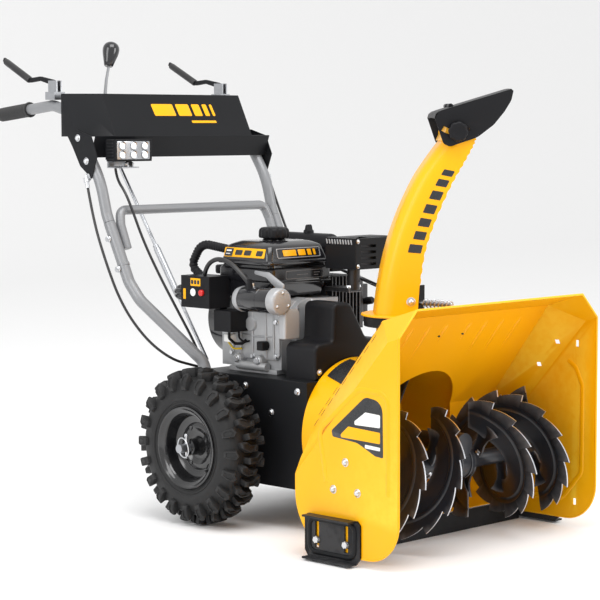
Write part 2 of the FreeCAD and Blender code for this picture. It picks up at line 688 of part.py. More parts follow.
# ---------------------------------------------------------------- frame, axle, wheels

def frame_box():
    """Folded sheet box that carries the engine and the drive."""
    outer = block("frame_outer", ("-frame_half", "frame_front", "frame_low"),
                  ("2 * frame_half", "frame_back - frame_front", "frame_top - frame_low"))
    inner = block("frame_inner", ("-frame_half + plate_gauge", "frame_front + plate_gauge", "frame_low - 1"),
                  ("2 * (frame_half - plate_gauge)", "frame_back - frame_front - 2 * plate_gauge",
                   "frame_top - frame_low - plate_gauge + 1"))
    axle = cylinder("frame_axle_hole", ("-frame_half - 5", "0", "wheel_radius"), "X", "axle_radius + 4", "320")
    shaft = cylinder("frame_shaft_hole", ("0", "frame_front - 5", "impeller_z"), "Y", "shaft_radius + 6", "20")
    belts = block("frame_belt_hole", ("-80", "pulley_y - 30", "frame_top - 8"), ("160", "60", "20"))
    return register("frame_box", cut("frame_box", outer, [inner, axle, shaft, belts]))


def wheel_axle():
    """Solid wheel axle through the frame, with its driven sprocket."""
    bar = cylinder("axle_bar", ("-axle_half", "0", "wheel_radius"), "X", "axle_radius", "2 * axle_half")
    sprocket = cylinder("sprocket", ("-118", "0", "wheel_radius"), "X", "62", "5")
    holes = [cylinder(f"pin_hole_{index}", (x, "0", "wheel_radius - 15"), "Z", "3.05", "30")
             for index, x in enumerate(("-wheel_out + 8", "wheel_out - 8"))]
    return register("wheel_axle", cut("wheel_axle", fuse("axle_solid", [bar, sprocket]), holes))


def revolved(name, points, x_turn=1):
    """A ring about the axle: points are (distance from the middle, radius)."""
    body = doc.addObject("PartDesign::Body", name)
    lifted = [(f"{x_turn} * ({x})", f"wheel_radius + ({r})") for x, r in points]
    sketch = outline(body, "XZ_Plane", lifted, "0")
    level = size("wheel_radius")
    sketch.addGeometry(Part.LineSegment(Vector(-300, level, 0), Vector(300, level, 0)))
    axis = len(lifted)
    sketch.toggleConstruction(axis)
    sketch.addConstraint(Sketcher.Constraint("Horizontal", axis))
    which = sketch.addConstraint(Sketcher.Constraint("DistanceY", -1, 1, axis, 1, size("wheel_radius")))
    sketch.setExpression(f"Constraints[{which}]", formula("wheel_radius"))
    turned = body.newObject("PartDesign::Revolution", name + "_turn")
    turned.Profile = sketch
    turned.ReferenceAxis = (sketch, ["Axis0"])
    turned.Angle = 360
    doc.recompute()
    return body


def rim(label, side):
    """Dished steel rim welded on a hub tube."""
    points = [("wheel_in + 6", "rim_radius - 6"), ("wheel_in + 6", "rim_radius + 8"),
              ("wheel_in + 9", "rim_radius + 8"), ("wheel_in + 14", "rim_radius - 12"), ("wheel_out - 16", "rim_radius - 12"),
              ("wheel_out - 10", "rim_radius + 6"), ("wheel_out - 6", "rim_radius + 6"),
              ("wheel_out - 8", "rim_radius - 8"), ("wheel_out - 18", "rim_radius - 22"),
              ("wheel_out - 42", "40"), ("wheel_out - 42", "19"), ("wheel_out - 14", "17"),
              ("wheel_out - 14", "axle_radius + 0.05"), ("wheel_in + 2", "axle_radius + 0.05"),
              ("wheel_in + 2", "17"), ("wheel_out - 48", "19"), ("wheel_out - 48", "40"),
              ("wheel_out - 26", "rim_radius - 16"), ("wheel_in + 12", "rim_radius - 16")]
    return register(label, revolved(label, points, side))


def tire(label, side):
    """Pneumatic tyre with deep lugs, as its full outer ring."""
    points = [("wheel_in + 9.3", "rim_radius + 8.5"), ("wheel_in + 2", "rim_radius + 26"),
              ("wheel_in", "wheel_radius - 36"), ("wheel_in + 8", "wheel_radius - 12"),
              ("wheel_in + 26", "wheel_radius"), ("wheel_out - 26", "wheel_radius"),
              ("wheel_out - 8", "wheel_radius - 12"), ("wheel_out", "wheel_radius - 36"),
              ("wheel_out - 2", "rim_radius + 26"), ("wheel_out - 10", "rim_radius + 6.5"),
              ("wheel_out - 16", "rim_radius - 11.7"), ("wheel_out - 28", "rim_radius + 20"),
              ("wheel_in + 28", "rim_radius + 20"), ("wheel_in + 14", "rim_radius - 11.7")]
    return register(label, revolved(label, points, side))


def linchpins():
    """Pins that lock the wheels on the axle, each with its spring ring."""
    pins = []
    for side in (-1, 1):
        x = side * (size("wheel_out") - 14 + 6)
        pin = Part.makeCylinder(3, 46, Vector(x, 0, size("wheel_radius") - 23))
        ring = Part.makeTorus(19, 1.6, Vector(x + side * 4.2, 0, size("wheel_radius") + 2), Vector(1, 0, 0))
        pins.append(joined([pin, ring]))
    return register("linchpins", feature("linchpins", Part.makeCompound(pins)))


def belt_cover():
    """Stepped plastic cover over the belts, between the drum and the engine."""
    profile = [("-111", "frame_top + gap"), ("-111", "392"), ("-96", "402"), ("-60", "404"), ("-56", "476"),
               ("-44", "484"), ("-18", "484"), ("2", "474"), ("44", "404"), ("96", "402"), ("111", "392"),
               ("111", "frame_top + gap")]
    body = prism("belt_cover_solid", "XZ_Plane", profile, "150", "94")
    room = [("-107", "frame_top - 2"), ("-107", "390"), ("-94", "397"), ("-52", "399"), ("-51", "474"),
            ("-42", "479.5"), ("-20", "479.5"), ("-2", "470"), ("40", "399"), ("94", "397"), ("107", "390"),
            ("107", "frame_top - 2")]
    hollow = prism("belt_cover_room", "XZ_Plane", room, "140", "100")
    return register("belt_cover", cut("belt_cover", body, [hollow]))


# ---------------------------------------------------------------- engine

def engine_crankcase():
    """Aluminium crankcase with its foot, PTO face and crankshaft boss."""
    case = block("case_block", ("-84", "engine_front", "frame_top + 10"),
                 ("176", "engine_back - engine_front - 20", "150"))
    foot = block("case_foot", ("-92", "engine_front + 6", "frame_top"), ("186", "150", "10"))
    face = cylinder("case_face", ("crank_x", "engine_front - 16", "crank_z"), "Y", "54", "40")
    body = fuse("case_outer", [case, foot, face])
    bore = cylinder("case_bore", ("crank_x", "engine_front - 30", "crank_z"), "Y", "crank_radius + 0.05", "90")
    return register("engine_crankcase", cut("engine_crankcase", body, [bore]))


def engine_cylinder():
    """Finned cylinder and head, leaning to the machine's left."""
    core = block("cylinder_core", ("92", "-74", "402"), ("120", "112", "108"))
    fins = [block(f"fin_{index}", (str(96 + 11 * index), "-90", "392"), ("3", "144", "132"))
            for index in range(9)]
    cap = block("rocker_cover", ("204", "-64", "414"), ("34", "94", "86"))
    return register("engine_cylinder", fuse("engine_cylinder", [core, cap] + fins))


def engine_shroud():
    """Black cooling shroud between the fuel tank and the crankcase."""
    body = prism("shroud", "YZ_Plane", [("-100", "518"), ("-92", "560"), ("48", "560"), ("62", "546"),
                                        ("62", "500"), ("40", "488"), ("-60", "488")], "-104", "187")
    return register("engine_shroud", body)


def recoil_cover():
    """Round starter and fan cover at the engine's back."""
    drum = cylinder("recoil_drum", ("0", "engine_back - 20", "crank_z"), "Y", "88", "42")
    dome = cone("recoil_dome", ("0", "engine_back + 22", "crank_z"), "Y", "80", "52", "14")
    mouth = cylinder("recoil_mouth", ("-36", "engine_back + 8", "crank_z + 66"), "Z", "13", "30")
    guide = cylinder("recoil_guide", ("-36", "engine_back + 8", "crank_z + 60"), "Z", "7", "60")
    body = fuse("recoil_outer", [drum, dome, mouth])
    return register("recoil_cover", cut("recoil_cover", body, [guide]))


def recoil_handle():
    """Pull handle of the rope starter with the first piece of its rope."""
    rope = cylinder("recoil_rope", ("-36", "engine_back + 8", "crank_z + 66"), "Z", "2.5", "40")
    grip = block("recoil_grip", ("-66", "engine_back - 4", "crank_z + 98"), ("60", "24", "20"))
    return register("recoil_handle", fuse("recoil_handle", [rope, grip]))


def fuel_tank():
    """Fuel tank with bevelled shoulders and a filler neck."""
    lower = prism("tank_lower", "XY_Plane", [("-120", "-96"), ("-104", "-112"), ("62", "-112"), ("78", "-96"),
                  ("78", "42"), ("62", "58"), ("-104", "58"), ("-120", "42")], "560.4", "32")
    upper = prism("tank_upper", "XY_Plane", [("-108", "-90"), ("-98", "-100"), ("56", "-100"), ("66", "-90"),
                  ("66", "36"), ("56", "46"), ("-98", "46"), ("-108", "36")], "590", "20")
    neck = cylinder("tank_neck", ("-35", "-40", "600"), "Z", "22", "14")
    return register("fuel_tank", fuse("fuel_tank", [lower, upper, neck]))


def fuel_cap():
    """Screw cap with grip lobes."""
    cap = cylinder("cap_disc", ("-35", "-40", "614.3"), "Z", "31", "25")
    lobes = []
    for index in range(6):
        step = math.radians(60 * index)
        lobes.append(cylinder(f"cap_lobe_{index}", (f"-35 + {28 * math.cos(step):.3f}",
                     f"-40 + {28 * math.sin(step):.3f}", "614.3"), "Z", "6.5", "22"))
    return register("fuel_cap", fuse("fuel_cap", [cap] + lobes))


def muffler():
    """Exhaust silencer on the engine's front left."""
    body = block("muffler_box", ("42", "-210", "553"), ("128", "84", "52"))
    pipe = cylinder("exhaust_pipe", ("92", "-160", "500"), "Z", "14", "58")
    flange = block("exhaust_flange", ("72", "-165", "495"), ("40", "74.5", "10"))
    return register("muffler", fuse("muffler", [body, pipe, flange]))


def muffler_guard():
    """Slotted sheet guard round the silencer."""
    outer = block("guard_outer", ("34", "-222", "549"), ("144", "92", "68"))
    inner = block("guard_inner", ("37", "-219", "543"), ("138", "100", "71"))
    slots = []
    for index in range(4):
        slots.append(block(f"guard_front_slot_{index}", ("52", "-230", str(557 + 13 * index)),
                           ("46", "20", "6")))
    for index in range(10):
        slots.append(block(f"guard_top_slot_{index}", (str(44 + 13 * index), "-212", "611"), ("6", "36", "20")))
    return register("muffler_guard", cut("muffler_guard", outer, [inner] + slots))


def air_filter_box():
    """Intake cover behind the silencer, with its wing knob."""
    body = prism("filter_box", "XY_Plane", [("86", "-92"), ("126", "-92"), ("134", "-80"), ("134", "88"),
                 ("124", "100"), ("94", "100"), ("86", "88")], "536", "84")
    knob = cylinder("filter_knob", ("112", "0", "620"), "Z", "12", "18")
    carburettor = block("carburettor", ("98", "-20", "524.3"), ("38", "60", "14"))
    return register("air_filter_box", fuse("air_filter_box", [body, knob, carburettor]))


def starter_motor():
    """Electric starter beside the crankcase: a barrel with silver end bells on a cast mount."""
    barrel = cylinder("starter_barrel", ("-141", "-150", "488"), "Y", "27", "98")
    front = cylinder("starter_front", ("-141", "-176", "488"), "Y", "29", "28")
    back = cylinder("starter_back", ("-141", "-54", "488"), "Y", "28", "18")
    mount = block("starter_mount", ("-130", "-172", "406"), ("46", "22", "80"))
    return register("starter_motor", fuse("starter_motor", [barrel, front, back, mount]))


def switch_box():
    """Starter switch box with its bracket, and the relay box below it."""
    box = block("switch_case", ("-166", "28", "462"), ("62", "92", "70"))
    hole = cylinder("switch_button_hole", ("-170", "52", "496"), "X", "7.3", "14")
    key = cylinder("switch_key_hole", ("-136", "110", "490"), "Y", "6.05", "20")
    bracket = block("switch_bracket", ("-106", "60", "440"), ("22", "16", "40"))
    relay = block("relay_case", ("-142", "-14", "412"), ("56", "54", "46"))
    case = cut("switch_shell", fuse("switch_solid", [box, bracket]), [hole, key])
    return register("switch_box", group("switch_box_group", [case, relay]))


def start_button():
    """Push button of the electric starter."""
    return register("start_button", cylinder("start_button", ("-171", "52", "496"), "X", "7", "10"))


def choke_knob():
    """Lobed turning knob on the back of the switch box."""
    stem = cylinder("choke_stem", ("-136", "112", "490"), "Y", "6", "14")
    head = cylinder("choke_head", ("-136", "124", "490"), "Y", "17", "34")
    dome = cone("choke_dome", ("-136", "158", "490"), "Y", "17", "9", "12")
    lobes = []
    for index in range(6):
        step = math.radians(60 * index)
        lobes.append(cylinder(f"choke_lobe_{index}", (f"-136 + {15 * math.cos(step):.3f}", "124",
                     f"490 + {15 * math.sin(step):.3f}"), "Y", "6", "26"))
    return register("choke_knob", fuse("choke_knob", [stem, head, dome] + lobes))


# ---------------------------------------------------------------- handles

def lower_handle(label, side):
    """Lower handle tube from the frame up to its flattened sleeve."""
    route = [(f"{side} * 155", "34", "284"), (f"{side} * 157", "60", "345"), (f"{side} * 244", "167", "478"),
             (f"{side} * 250", "196", "516"), (f"{side} * handle_half", "258", "645")]
    body = tube_shape(route, size("tube_radius") + 0.5, [40, 60, 60])
    foot = Part.makeBox(6, 44, 56, Vector(min(side * 142, side * 148), 24, 262))
    shape = joined([body, foot])
    return register(label, feature(label, shape))


def upper_tube(side, radius):
    """The upper handle's tube at a given radius: up from the sleeve, then bent back to the grip."""
    half = "handle_half"
    bends_at = [("258.2", "645.5"), ("267", "664"), ("288", "739"), ("350", "828"), ("396", "892"),
                ("452", "905"), ("646", "884")]
    route = [(f"{side} * {half}", y, z) for y, z in bends_at]
    return tube_shape(route, radius, [60, 220, 220, 60, 60])


def upper_handle(label, side):
    """Upper handle tube."""
    return register(label, feature(label, upper_tube(side, size("tube_radius"))))


def crossbar():
    """Bent bar that braces the two handles."""
    route = [("-227.8", "228", "588"), ("-227.8", "250", "640"), ("-220", "261", "672"), ("220", "261", "672"),
             ("227.8", "250", "640"), ("227.8", "228", "588")]
    return register("crossbar", feature("crossbar", tube_shape(route, 10.5, [30, 34, 34, 30])))


def hand_grips():
    """Moulded grips over the handles' ends."""
    tilt = Rotation(Vector(0, 0, 1), Vector(0, 194, -21))
    grips = []
    for name, side in (("right", -1), ("left", 1)):
        at = (f"{side} * handle_half", "536", "895.9")
        sleeve = cylinder(f"grip_{name}", at, tilt, "grip_radius", "114")
        bore = cylinder(f"grip_{name}_bore", at, tilt, "tube_radius + 0.2", "112")
        grips.append(cut(f"grip_{name}_hollow", sleeve, [bore]))
    return register("hand_grips", group("hand_grips", grips))


def control_panel():
    """Folded sheet dashboard: top, raked front, corner faces and side flanges along the tubes."""
    half = size("panel_half")
    gauge = 2.0

    def shell(inset):
        low = 835 - (6 if inset else 0)
        top = size("panel_top") - inset
        front = size("panel_front") + inset
        flat = 209 - inset
        side = half - inset
        rear = 470
        upper = [Vector(-side, rear, top), Vector(-side, 402 + inset, top), Vector(-flat, front, top),
                 Vector(flat, front, top), Vector(side, 402 + inset, top), Vector(side, rear, top)]
        lean = (front - 287 - inset) / (931 - 835) * (top - low)
        lower = [Vector(-side, rear - lean, low), Vector(-side, 352 + inset, low),
                 Vector(-flat, front - lean, low), Vector(flat, front - lean, low),
                 Vector(side, 352 + inset, low), Vector(side, rear - lean, low)]
        wires = [Part.makePolygon(ring + [ring[0]]) for ring in (lower, upper)]
        return Part.makeLoft(wires, True, True)

    hood = shell(0).cut(shell(gauge))
    behind = Part.makeBox(2 * half - 2 * gauge - 30, 200, 200, Vector(-half + gauge + 15, 405, 700))
    slope = Part.makeBox(2 * half + 20, 200, 300, Vector(-half - 10, 0, 0))
    slope.rotate(Vector(0, 0, 0), Vector(1, 0, 0), -28)
    slope.translate(Vector(0, 392, 640))
    hood = hood.cut(slope)
    lip_half = half - 2
    lip = Part.makeBox(2 * lip_half, gauge, 50, Vector(-lip_half, 0, -50))
    lip.rotate(Vector(0, 0, 0), Vector(1, 0, 0), 19)
    lip.translate(Vector(0, 287, 836))
    flanges = []
    for side in (-1, 1):
        outline_points = [(300, 742), (340, 770), (366, 812), (394, 850), (352, 850), (300, 836), (280, 792)]
        ring = [Vector(side * half, y, z) for y, z in outline_points]
        plate = Part.Face(Part.makePolygon(ring + [ring[0]])).extrude(Vector(-side * gauge, 0, 0))
        flanges.append(plate)
    slots = []
    for side in (-1, 1):
        slots.append(Part.makeBox(60, 90, 120, Vector(side * 255 - 30, 405, size("panel_top") - 110)))
    slots.append(Part.makeBox(26, 56, 30, Vector(-123, 412, size("panel_top") - 10)))
    slots += [upper_tube(side, size("tube_radius + 0.4")) for side in (-1, 1)]
    body = joined([hood, lip] + flanges)
    for slot in slots:
        body = body.cut(slot)
    return register("control_panel", feature("control_panel", body.cut(behind.common(slope))))


def panel_brackets():
    """Pivot brackets of the clutch levers and the speed lever, and the bracket of the work lamp."""
    pieces = []
    for side in (-1, 1):
        x = side * size("handle_half")
        saddle = Part.makeBox(30, 34, 18, Vector(x - 15, 428, 917.5))
        cheeks = Part.makeBox(16, 30, 26, Vector(x - 8, 430, 935))
        slit = Part.makeBox(8.6, 40, 26, Vector(x - 4.3, 426, 935.5))
        pin = Part.makeCylinder(3, 16, Vector(x - 8, 445, 950), Vector(1, 0, 0))
        pieces.append(joined([saddle, cheeks.cut(slit), pin]))
    shift = Vector(-110, size("shift_y"), size("shift_z"))
    bore = Part.makeCylinder(7.05, 60, shift - Vector(30, 0, 0), Vector(1, 0, 0))
    for x in (-127, -95.7):
        height = size("panel_top") - 2 - shift.z + 12
        pieces.append(Part.makeBox(2.7, 24, height, Vector(x, shift.y - 12, shift.z - 12)).cut(bore))
    lamp = Vector(-191, size("lamp_y"), size("lamp_z"))
    arm = Part.makeBox(50, 49, 3, lamp + Vector(-25, -6, -9))
    post = Part.makeBox(50, 3, 43, lamp + Vector(-25, 42, -9))
    ears = [Part.makeBox(3, 12, 13, lamp + Vector(x, -6, -9)) for x in (-9, 6)]
    pin = Part.makeCylinder(2, 18, lamp - Vector(9, 0, 0), Vector(1, 0, 0))
    pieces.append(joined([arm, post, pin] + ears))
    return register("panel_brackets", feature("panel_brackets", Part.makeCompound(pieces)))


def clutch_lever(label, side):
    """Bent flat lever that is pressed down onto the grip."""
    x = side * size("handle_half")
    path = [(440, 938), (444, 962), (496, 971), (530, 968), (592, 996), (630, 1016), (634, 1008), (596, 987),
            (534, 957), (496, 961), (458, 952), (452, 938)]
    ring = [Vector(x - 4, y, z) for y, z in path]
    plate = Part.Face(Part.makePolygon(ring + [ring[0]])).extrude(Vector(8, 0, 0))
    sleeve_at = Vector(x, 536, 963)
    way = Vector(0, 96, 47)
    sleeve = Part.makeCylinder(8, 102, sleeve_at, way)
    bore = Part.makeCylinder(3.05, 40, Vector(x - 20, 445, 950), Vector(1, 0, 0))
    return register(label, feature(label, joined([plate, sleeve]).cut(bore)))


def shift_lever():
    """Speed lever through the panel's gate, with its knob above and its short arm below the pivot."""
    y = size("shift_y")
    z = size("shift_z")
    strip = tube_shape([("-110", "shift_y", "shift_z - shift_arm"), ("-110", "shift_y + 3", "938"),
                        ("-82", "462", "1004")], 5, [100])
    knob = Part.makeSphere(19, Vector(-70, 466, 1038))
    neck = Part.makeCone(10, 17, 34, Vector(-84, 460, 998), Vector(0.35, 0.15, 1))
    pivot = Part.makeCylinder(7, 34, Vector(-127, y, z), Vector(1, 0, 0))
    return register("shift_lever", feature("shift_lever", joined([strip, knob, neck, pivot])))


def shift_rod():
    """Rod from the speed lever's arm down to the drive, with its adjusting sleeve."""
    top = Vector(-99, size("shift_y"), size("shift_z - shift_arm"))
    low = Vector(-97, 112, 338)
    way = low - top
    rod = Part.makeCylinder(4, way.Length, top, way)
    sleeve = Part.makeCylinder(8, 130, top + way * 0.48, way)
    return register("shift_rod", feature("shift_rod", joined([rod, sleeve])))


def work_lamp():
    """Lamp housing with its cooling fins and its pivot lug."""
    case = block("lamp_case", ("-244", "lamp_y - 17", "lamp_z + 6.5"), ("106", "30", "49"))
    fins = [block(f"lamp_fin_{index}", (str(-241 + 14 * index), "lamp_y + 12", "lamp_z + 10"), ("4", "8", "42"))
            for index in range(8)]
    lug = block("lamp_lug", ("-196.7", "lamp_y - 4.5", "lamp_z - 2.8"), ("11.4", "9", "11"))
    body = fuse("lamp_body", [case, lug] + fins)
    bore = cylinder("lamp_bore", ("-205", "lamp_y", "lamp_z"), "X", "2.05", "30")
    return register("work_lamp", cut("work_lamp", body, [bore]))


# ---------------------------------------------------------------- cables

def cables():
    """Clutch cables, lamp lead and starter lead, each along its own route."""
    outer = [("278", "306", "742"), ("286", "276", "660"), ("290", "232", "570"), ("280", "188", "470"),
             ("250", "144", "395"), ("206", "112", "350"), ("160", "96", "334"), ("132", "84", "326")]
    inner = [("-206", "292", "763.9"), ("-209", "284", "740"), ("-210", "254", "712"), ("-205", "236", "672"),
             ("-190", "218", "605"),
             ("-168", "192", "530"), ("-150", "150", "450"), ("-128", "112", "370"), ("-118", "100", "326")]
    lead = [("-150", "60", "533.5"), ("-152", "52", "556"), ("-156", "12", "574"), ("-158", "-32", "566"),
            ("-156", "-66", "542"), ("-148", "-82", "520")]
    mirrored = [("-" + x, y, z) for x, y, z in outer]
    routes = [(3, outer), (3, mirrored), (3, inner), (5, lead)]
    tubes = [tube_shape(route, radius) for radius, route in routes]
    return register("cables", feature("cables", Part.makeCompound(tubes)))


# ---------------------------------------------------------------- build, check and write

def build():
    """Make every sub-part."""
    auger_housing_shell()
    side_plates()
    impeller_drum()
    scraper_bar()
    bolts()
    flange_bearings()
    gearbox_case()
    auger_shaft()
    auger_half("auger_right", -1)
    auger_half("auger_left", 1)
    impeller()
    impeller_shaft()
    impeller_pulley()
    engine_pulley()
    drive_belts()
    chute_seat()
    chute()
    deflector()
    deflector_knob()
    chute_worm()
    chute_crank()
    skid_shoe("skid_shoe_right", -1)
    skid_shoe("skid_shoe_left", 1)
    frame_box()
    wheel_axle()
    for name, side in (("right", -1), ("left", 1)):
        rim("rim_" + name, side)
        tire("tire_" + name, side)
        lower_handle("lower_handle_" + name, side)
        upper_handle("upper_handle_" + name, side)
        clutch_lever("clutch_lever_" + name, side)
    linchpins()
    belt_cover()
    engine_crankcase()
    engine_cylinder()
    engine_shroud()
    recoil_cover()
    recoil_handle()
    fuel_tank()
    fuel_cap()
    muffler()
    muffler_guard()
    air_filter_box()
    starter_motor()
    switch_box()
    start_button()
    choke_knob()
    crossbar()
    hand_grips()
    control_panel()
    panel_brackets()
    shift_lever()
    shift_rod()
    work_lamp()
    cables()


def check_and_write():
    """Place every sub-part, check it and write its file."""
    doc.recompute()
    failed = [thing.Label for thing in doc.Objects if "Invalid" in thing.State or "Error" in thing.State]
    if failed:
        raise RuntimeError("failed objects: " + ", ".join(failed))
    os.makedirs("parts", exist_ok=True)
    shift = Vector(0, size("frame_shift"), 0)
    for thing in nodes:
        placement = Placement(thing.Placement)
        placement.Base = placement.Base + shift
        if any(path.endswith("Placement.Base.y") for path, text in thing.ExpressionEngine):
            thing.setExpression("Placement.Base.y", None)
        thing.Placement = placement
    doc.recompute()
    box = FreeCAD.BoundBox()
    for thing in nodes:
        shape = thing.Shape
        if shape.isNull() or not shape.isValid():
            raise RuntimeError(thing.Label + " has no valid shape")
        box.add(shape.BoundBox)
        shape.exportStep(f"parts/{thing.Label}.step")
        print(f"{thing.Label:22s} solids {len(shape.Solids):2d} volume {shape.Volume:12.0f}")
    print("nodes", len(nodes), "box", box)


build()
check_and_write()
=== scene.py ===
import math

import bmesh
import bpy
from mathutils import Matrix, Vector


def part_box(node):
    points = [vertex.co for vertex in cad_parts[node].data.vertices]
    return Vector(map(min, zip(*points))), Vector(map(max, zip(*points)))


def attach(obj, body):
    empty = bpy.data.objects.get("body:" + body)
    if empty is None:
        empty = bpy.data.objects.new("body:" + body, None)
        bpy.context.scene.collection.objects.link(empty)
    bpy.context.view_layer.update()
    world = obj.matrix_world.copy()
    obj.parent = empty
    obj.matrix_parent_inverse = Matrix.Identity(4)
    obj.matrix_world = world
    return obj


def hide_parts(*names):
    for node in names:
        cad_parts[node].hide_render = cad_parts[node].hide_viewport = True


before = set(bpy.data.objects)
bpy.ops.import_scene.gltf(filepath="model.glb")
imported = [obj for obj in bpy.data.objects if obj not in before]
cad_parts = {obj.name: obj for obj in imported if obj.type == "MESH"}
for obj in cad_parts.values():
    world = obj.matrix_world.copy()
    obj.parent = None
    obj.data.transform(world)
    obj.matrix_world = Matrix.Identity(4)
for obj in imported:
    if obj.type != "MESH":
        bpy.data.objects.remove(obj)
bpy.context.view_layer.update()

# ------------------------------------------------------------ the whole machine
# A walk-behind snowblower, measured from the line of its wheel axle: x to the machine's left, y back
# towards the operator, z up from the ground. The shop drawing is in millimetres.

MM = 0.001
axle_low, axle_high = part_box("wheel_axle")
AXLE_Y = (axle_low.y + axle_high.y) / 2


def at(x, y, z):
    """A drawn point, in metres."""
    return Vector((x * MM, y * MM + AXLE_Y, z * MM))


def shown(name, mesh, body, finish, slot, *stands_for):
    """Put a finished mesh on the machine with its finish, and hide the drawn parts it stands for."""
    piece = bpy.data.objects.new(name, mesh)
    bpy.context.scene.collection.objects.link(piece)
    for one in finish if isinstance(finish, (list, tuple)) else [finish]:
        mesh.materials.append(one)
    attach(piece, body)
    if stands_for:
        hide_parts(*stands_for)
    return piece

# ------------------------------------------------------------ studio
# A pale floor that rolls up into a pale wall far behind, a large soft box overhead and to the front left, and
# a weaker fill from the other side. The camera has a long lens and stands low at the right front corner.

LENS = 124.87
CAMERA_SHIFT = (-0.1186, 0.0202)
CAMERA_AT = at(-3201.6, -3327.5, 866.0)
CAMERA_AIM = at(0, -300, 464.96)
camera_data = bpy.data.cameras.new("camera")
camera_data.lens = LENS
camera_data.sensor_width = 36.0
camera_data.shift_x, camera_data.shift_y = CAMERA_SHIFT
camera = bpy.data.objects.new("camera", camera_data)
bpy.context.scene.collection.objects.link(camera)
camera.location = CAMERA_AT
camera.rotation_mode = "QUATERNION"
camera.rotation_quaternion = (CAMERA_AIM - CAMERA_AT).to_track_quat("-Z", "Y")
bpy.context.scene.camera = camera
bpy.context.scene.view_settings.view_transform = "Standard"

world = bpy.data.worlds.new("studio")
world.use_nodes = True
world.node_tree.nodes["Background"].inputs["Color"].default_value = (1.0, 1.0, 1.0, 1.0)
world.node_tree.nodes["Background"].inputs["Strength"].default_value = 0.92
bpy.context.scene.world = world


def soft_box(name, place, aim, width, height, watts):
    """A rectangular studio lamp."""
    data = bpy.data.lights.new(name, "AREA")
    data.shape = "RECTANGLE"
    data.size = width
    data.size_y = height
    data.energy = watts
    lamp = bpy.data.objects.new(name, data)
    bpy.context.scene.collection.objects.link(lamp)
    lamp.location = place
    lamp.rotation_euler = (aim - place).to_track_quat("-Z", "Y").to_euler()


soft_box("soft_box_top", Vector((-0.6, -1.2, 3.6)), Vector((0, -0.1, 0.4)), 2.6, 2.0, 76)
soft_box("soft_box_right", Vector((-3.4, 0.4, 2.0)), Vector((0, 0.0, 0.5)), 1.6, 2.2, 42)
soft_box("soft_box_front", Vector((1.6, -3.8, 1.9)), Vector((0, -0.3, 0.4)), 1.8, 1.8, 50)

floor_mesh = bpy.data.meshes.new("floor")
floor_bm = bmesh.new()
FLOOR_REACH = 14.0
WALL_AT = 6.0
WALL_BEND = 2.4
BEND_STEPS = 16
rows = []
for step in range(BEND_STEPS + 2):
    turn = math.radians(90 * max(0, step - 1) / BEND_STEPS)
    rise = 0.0 if step == 0 else WALL_BEND * (1 - math.cos(turn))
    back = -FLOOR_REACH if step == 0 else WALL_AT + WALL_BEND * math.sin(turn)
    rows.append([floor_bm.verts.new((x, back, rise)) for x in (-FLOOR_REACH, FLOOR_REACH)])
for low_row, high_row in zip(rows, rows[1:]):
    floor_bm.faces.new((low_row[0], low_row[1], high_row[1], high_row[0]))
floor_bm.to_mesh(floor_mesh)
floor_bm.free()
floor_mesh.shade_smooth()
floor = bpy.data.objects.new("floor", floor_mesh)
bpy.context.scene.collection.objects.link(floor)
paper = bpy.data.materials.new("floor_paper")
paper.use_nodes = True
paper_shader = paper.node_tree.nodes["Principled BSDF"]
paper_shader.inputs["Base Color"].default_value = (0.93, 0.93, 0.93, 1.0)
paper_shader.inputs["Roughness"].default_value = 0.85
floor_mesh.materials.append(paper)

# ------------------------------------------------------------ sheet metal finish
# The housing, the drum and the chute are pressed steel in yellow powder coat. The coat has the faint ripple
# of baked powder and brighter corners, a painted highlight along its edges, and other finishes also carry a
# haze of settled dust.


def effect(name, inputs, outputs):
    """A new shader node group with its sockets, and its two end nodes."""
    group = bpy.data.node_groups.new(name, "ShaderNodeTree")
    for label, kind, value in inputs:
        socket = group.interface.new_socket(name=label, in_out="INPUT", socket_type=kind)
        if value is not None:
            socket.default_value = value
    for label, kind in outputs:
        group.interface.new_socket(name=label, in_out="OUTPUT", socket_type=kind)
    return group, group.nodes.new("NodeGroupInput"), group.nodes.new("NodeGroupOutput")


def sum_node(tree, operation, first, second):
    """A math node with each side a socket or a number."""
    node = tree.nodes.new("ShaderNodeMath")
    node.operation = operation
    for index, side in enumerate((first, second)):
        if isinstance(side, (int, float)):
            node.inputs[index].default_value = side
        else:
            tree.links.new(side, node.inputs[index])
    return node.outputs[0]


# uneven tone: large soft clouds and fine specks, as a value about 0.5
UNEVEN, given, given_back = effect("uneven_tone", [("Cloud size", "NodeSocketFloat", 6.0),
                                                   ("Speck size", "NodeSocketFloat", 160.0)],
                                   [("Clouds", "NodeSocketFloat"), ("Specks", "NodeSocketFloat")])
place = UNEVEN.nodes.new("ShaderNodeTexCoord")
for label, socket in (("Cloud size", "Clouds"), ("Speck size", "Specks")):
    cloud = UNEVEN.nodes.new("ShaderNodeTexNoise")
    cloud.inputs["Detail"].default_value = 4.0
    UNEVEN.links.new(place.outputs["Object"], cloud.inputs["Vector"])
    UNEVEN.links.new(given.outputs[label], cloud.inputs["Scale"])
    UNEVEN.links.new(cloud.outputs["Fac"], given_back.inputs[socket])
